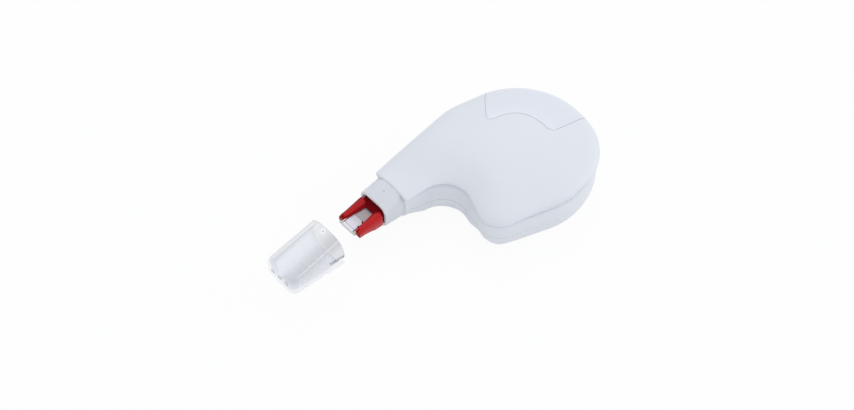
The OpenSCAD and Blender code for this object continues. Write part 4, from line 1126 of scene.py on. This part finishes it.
# Painted shade and painted highlight of the cap: darker beside the raised line, at the side bearings and near
# the mouth, lighter along the line and round the dimple.
def painted_light_level(x, y, z, outside):
    turn = math.degrees(math.atan2(z - NECK_Z, y - NECK_Y)) % 360
    off = turn - line_bearing(x)
    depth = WALL_CLEAR - LINE_SHADE * bell(off, SHADE_ABOVE if off > 0 else SHADE_BELOW)
    depth += LINE_LIGHT * outside * ease((x - END_X - CAP_ROUND) / LIGHT_FADE) * bell(off, LIGHT_WIDE)
    for side, dip, width in SIDE_SHADES:
        depth -= dip * bell(turn - side, width)
    if MOUTH_SECTOR[0] < turn < MOUTH_SECTOR[1]:
        depth *= 1 - MOUTH_SHADE * ease((x - CAP_X + MOUTH_FROM) / MOUTH_FADE)
    return 1.0 if on_snap(x, y, z, SNAP_PAINTED_HIGHLIGHT) else depth


tint = cap.data.attributes.new("painted_light_tint", "FLOAT_COLOR", "POINT")
for spot, point in zip(tint.data, cap.data.vertices):
    side_y, side_z = point.co.y - NECK_Y * MM, point.co.z - NECK_Z * MM
    outside = point.normal.y * side_y + point.normal.z * side_z > 0
    depth = painted_light_level(*(point.co / MM), outside)
    spot.color = (WALL_RED * depth, WALL_GREEN * depth, min(WALL_BLUE * depth, 1), 1)
place(cap, "cap", "cap_clear", "cap", sharp=40)

# %% [markdown]
# Each air hole has a fine raised rim, dark grey as painted shade round the hole. The rims repeat, so
# Geometry Nodes set them: a mesh line gives three points, a thin ring swept round a circle stands on each,
# and Realize Instances makes them real before the mesh is kept.

# %% Rims of the air holes
RIM_GAP, RIM_WIRE, RIM_OUT = 0.08, 0.07, 0.02
rim_tree = bpy.data.node_groups.new("vent_rims", "GeometryNodeTree")
rim_tree.interface.new_socket("Geometry", in_out="OUTPUT", socket_type="NodeSocketGeometry")
RIM_SOCKETS = {"Ring Radius": "Float", "Wire Radius": "Float", "Step": "Float", "First": "Vector"}
rim_inputs = {}
for label, kind in RIM_SOCKETS.items():
    socket = rim_tree.interface.new_socket(label, in_out="INPUT", socket_type="NodeSocket" + kind)
    rim_inputs[label] = socket.identifier
r_in, r_out = rim_tree.nodes.new("NodeGroupInput"), rim_tree.nodes.new("NodeGroupOutput")
line = set_inputs(rim_tree.nodes.new("GeometryNodeMeshLine"), Count=3)
line.mode = "OFFSET"
offset = rim_tree.nodes.new("ShaderNodeCombineXYZ")
hoop = set_inputs(rim_tree.nodes.new("GeometryNodeCurvePrimitiveCircle"), Resolution=36)
wire = set_inputs(rim_tree.nodes.new("GeometryNodeCurvePrimitiveCircle"), Resolution=10)
sweep = rim_tree.nodes.new("GeometryNodeCurveToMesh")
stand = set_inputs(rim_tree.nodes.new("GeometryNodeInstanceOnPoints"), Rotation=(0, math.pi / 2, 0))
real = rim_tree.nodes.new("GeometryNodeRealizeInstances")
dress = set_inputs(rim_tree.nodes.new("GeometryNodeSetMaterial"), Material=vent_shade_grey)
connect(rim_tree,
        (r_in, "Step", offset, "Y"), (offset, 0, line, "Offset"), (r_in, "First", line, "Start Location"),
        (r_in, "Ring Radius", hoop, "Radius"), (r_in, "Wire Radius", wire, "Radius"),
        (hoop, "Curve", sweep, "Curve"), (wire, "Curve", sweep, "Profile Curve"),
        (line, "Mesh", stand, "Points"), (sweep, "Mesh", stand, "Instance"),
        (stand, "Instances", real, "Geometry"), (real, "Geometry", dress, "Geometry"),
        (dress, "Geometry", r_out, "Geometry"))

rims = bpy.data.objects.new("vent_rims", bpy.data.meshes.new("vent_rims"))
scene.collection.objects.link(rims)
grow = rims.modifiers.new("vent_rims", "NODES")
grow.node_group = rim_tree
grow[rim_inputs["Ring Radius"]] = (VENT_R + RIM_GAP) * MM
grow[rim_inputs["Wire Radius"]] = RIM_WIRE * MM
grow[rim_inputs["Step"]] = VENT_STEP * MM
grow[rim_inputs["First"]] = ((END_X - RIM_OUT) * MM, (NECK_Y - VENT_STEP) * MM, VENT_Z * MM)
settle(rims)
place(rims, "cap", "cap_clear")

# %% [markdown]
# The reels, gears and rollers keep their construction meshes, because those are already true to size. They
# only get finishes: white acetal for the gears and cores, rubber for the clutch ring and the two looks of
# the tape.

# %% Finishes of the inner pieces
inside_finish = {"gear_white": gear_white, "clutch_rubber": clutch_rubber, "tape_white": tape_white,
                 "tape_used": tape_used}
for part in frame["record"]["subparts"]:
    node = frame["nodes"][part["node"]]
    if not node.hide_render:
        chosen = inside_finish[part["material_slot"]]
        if len(node.data.materials):
            node.data.materials[0] = chosen
        else:
            node.data.materials.append(chosen)
        print(part["node"], "->", chosen.name)
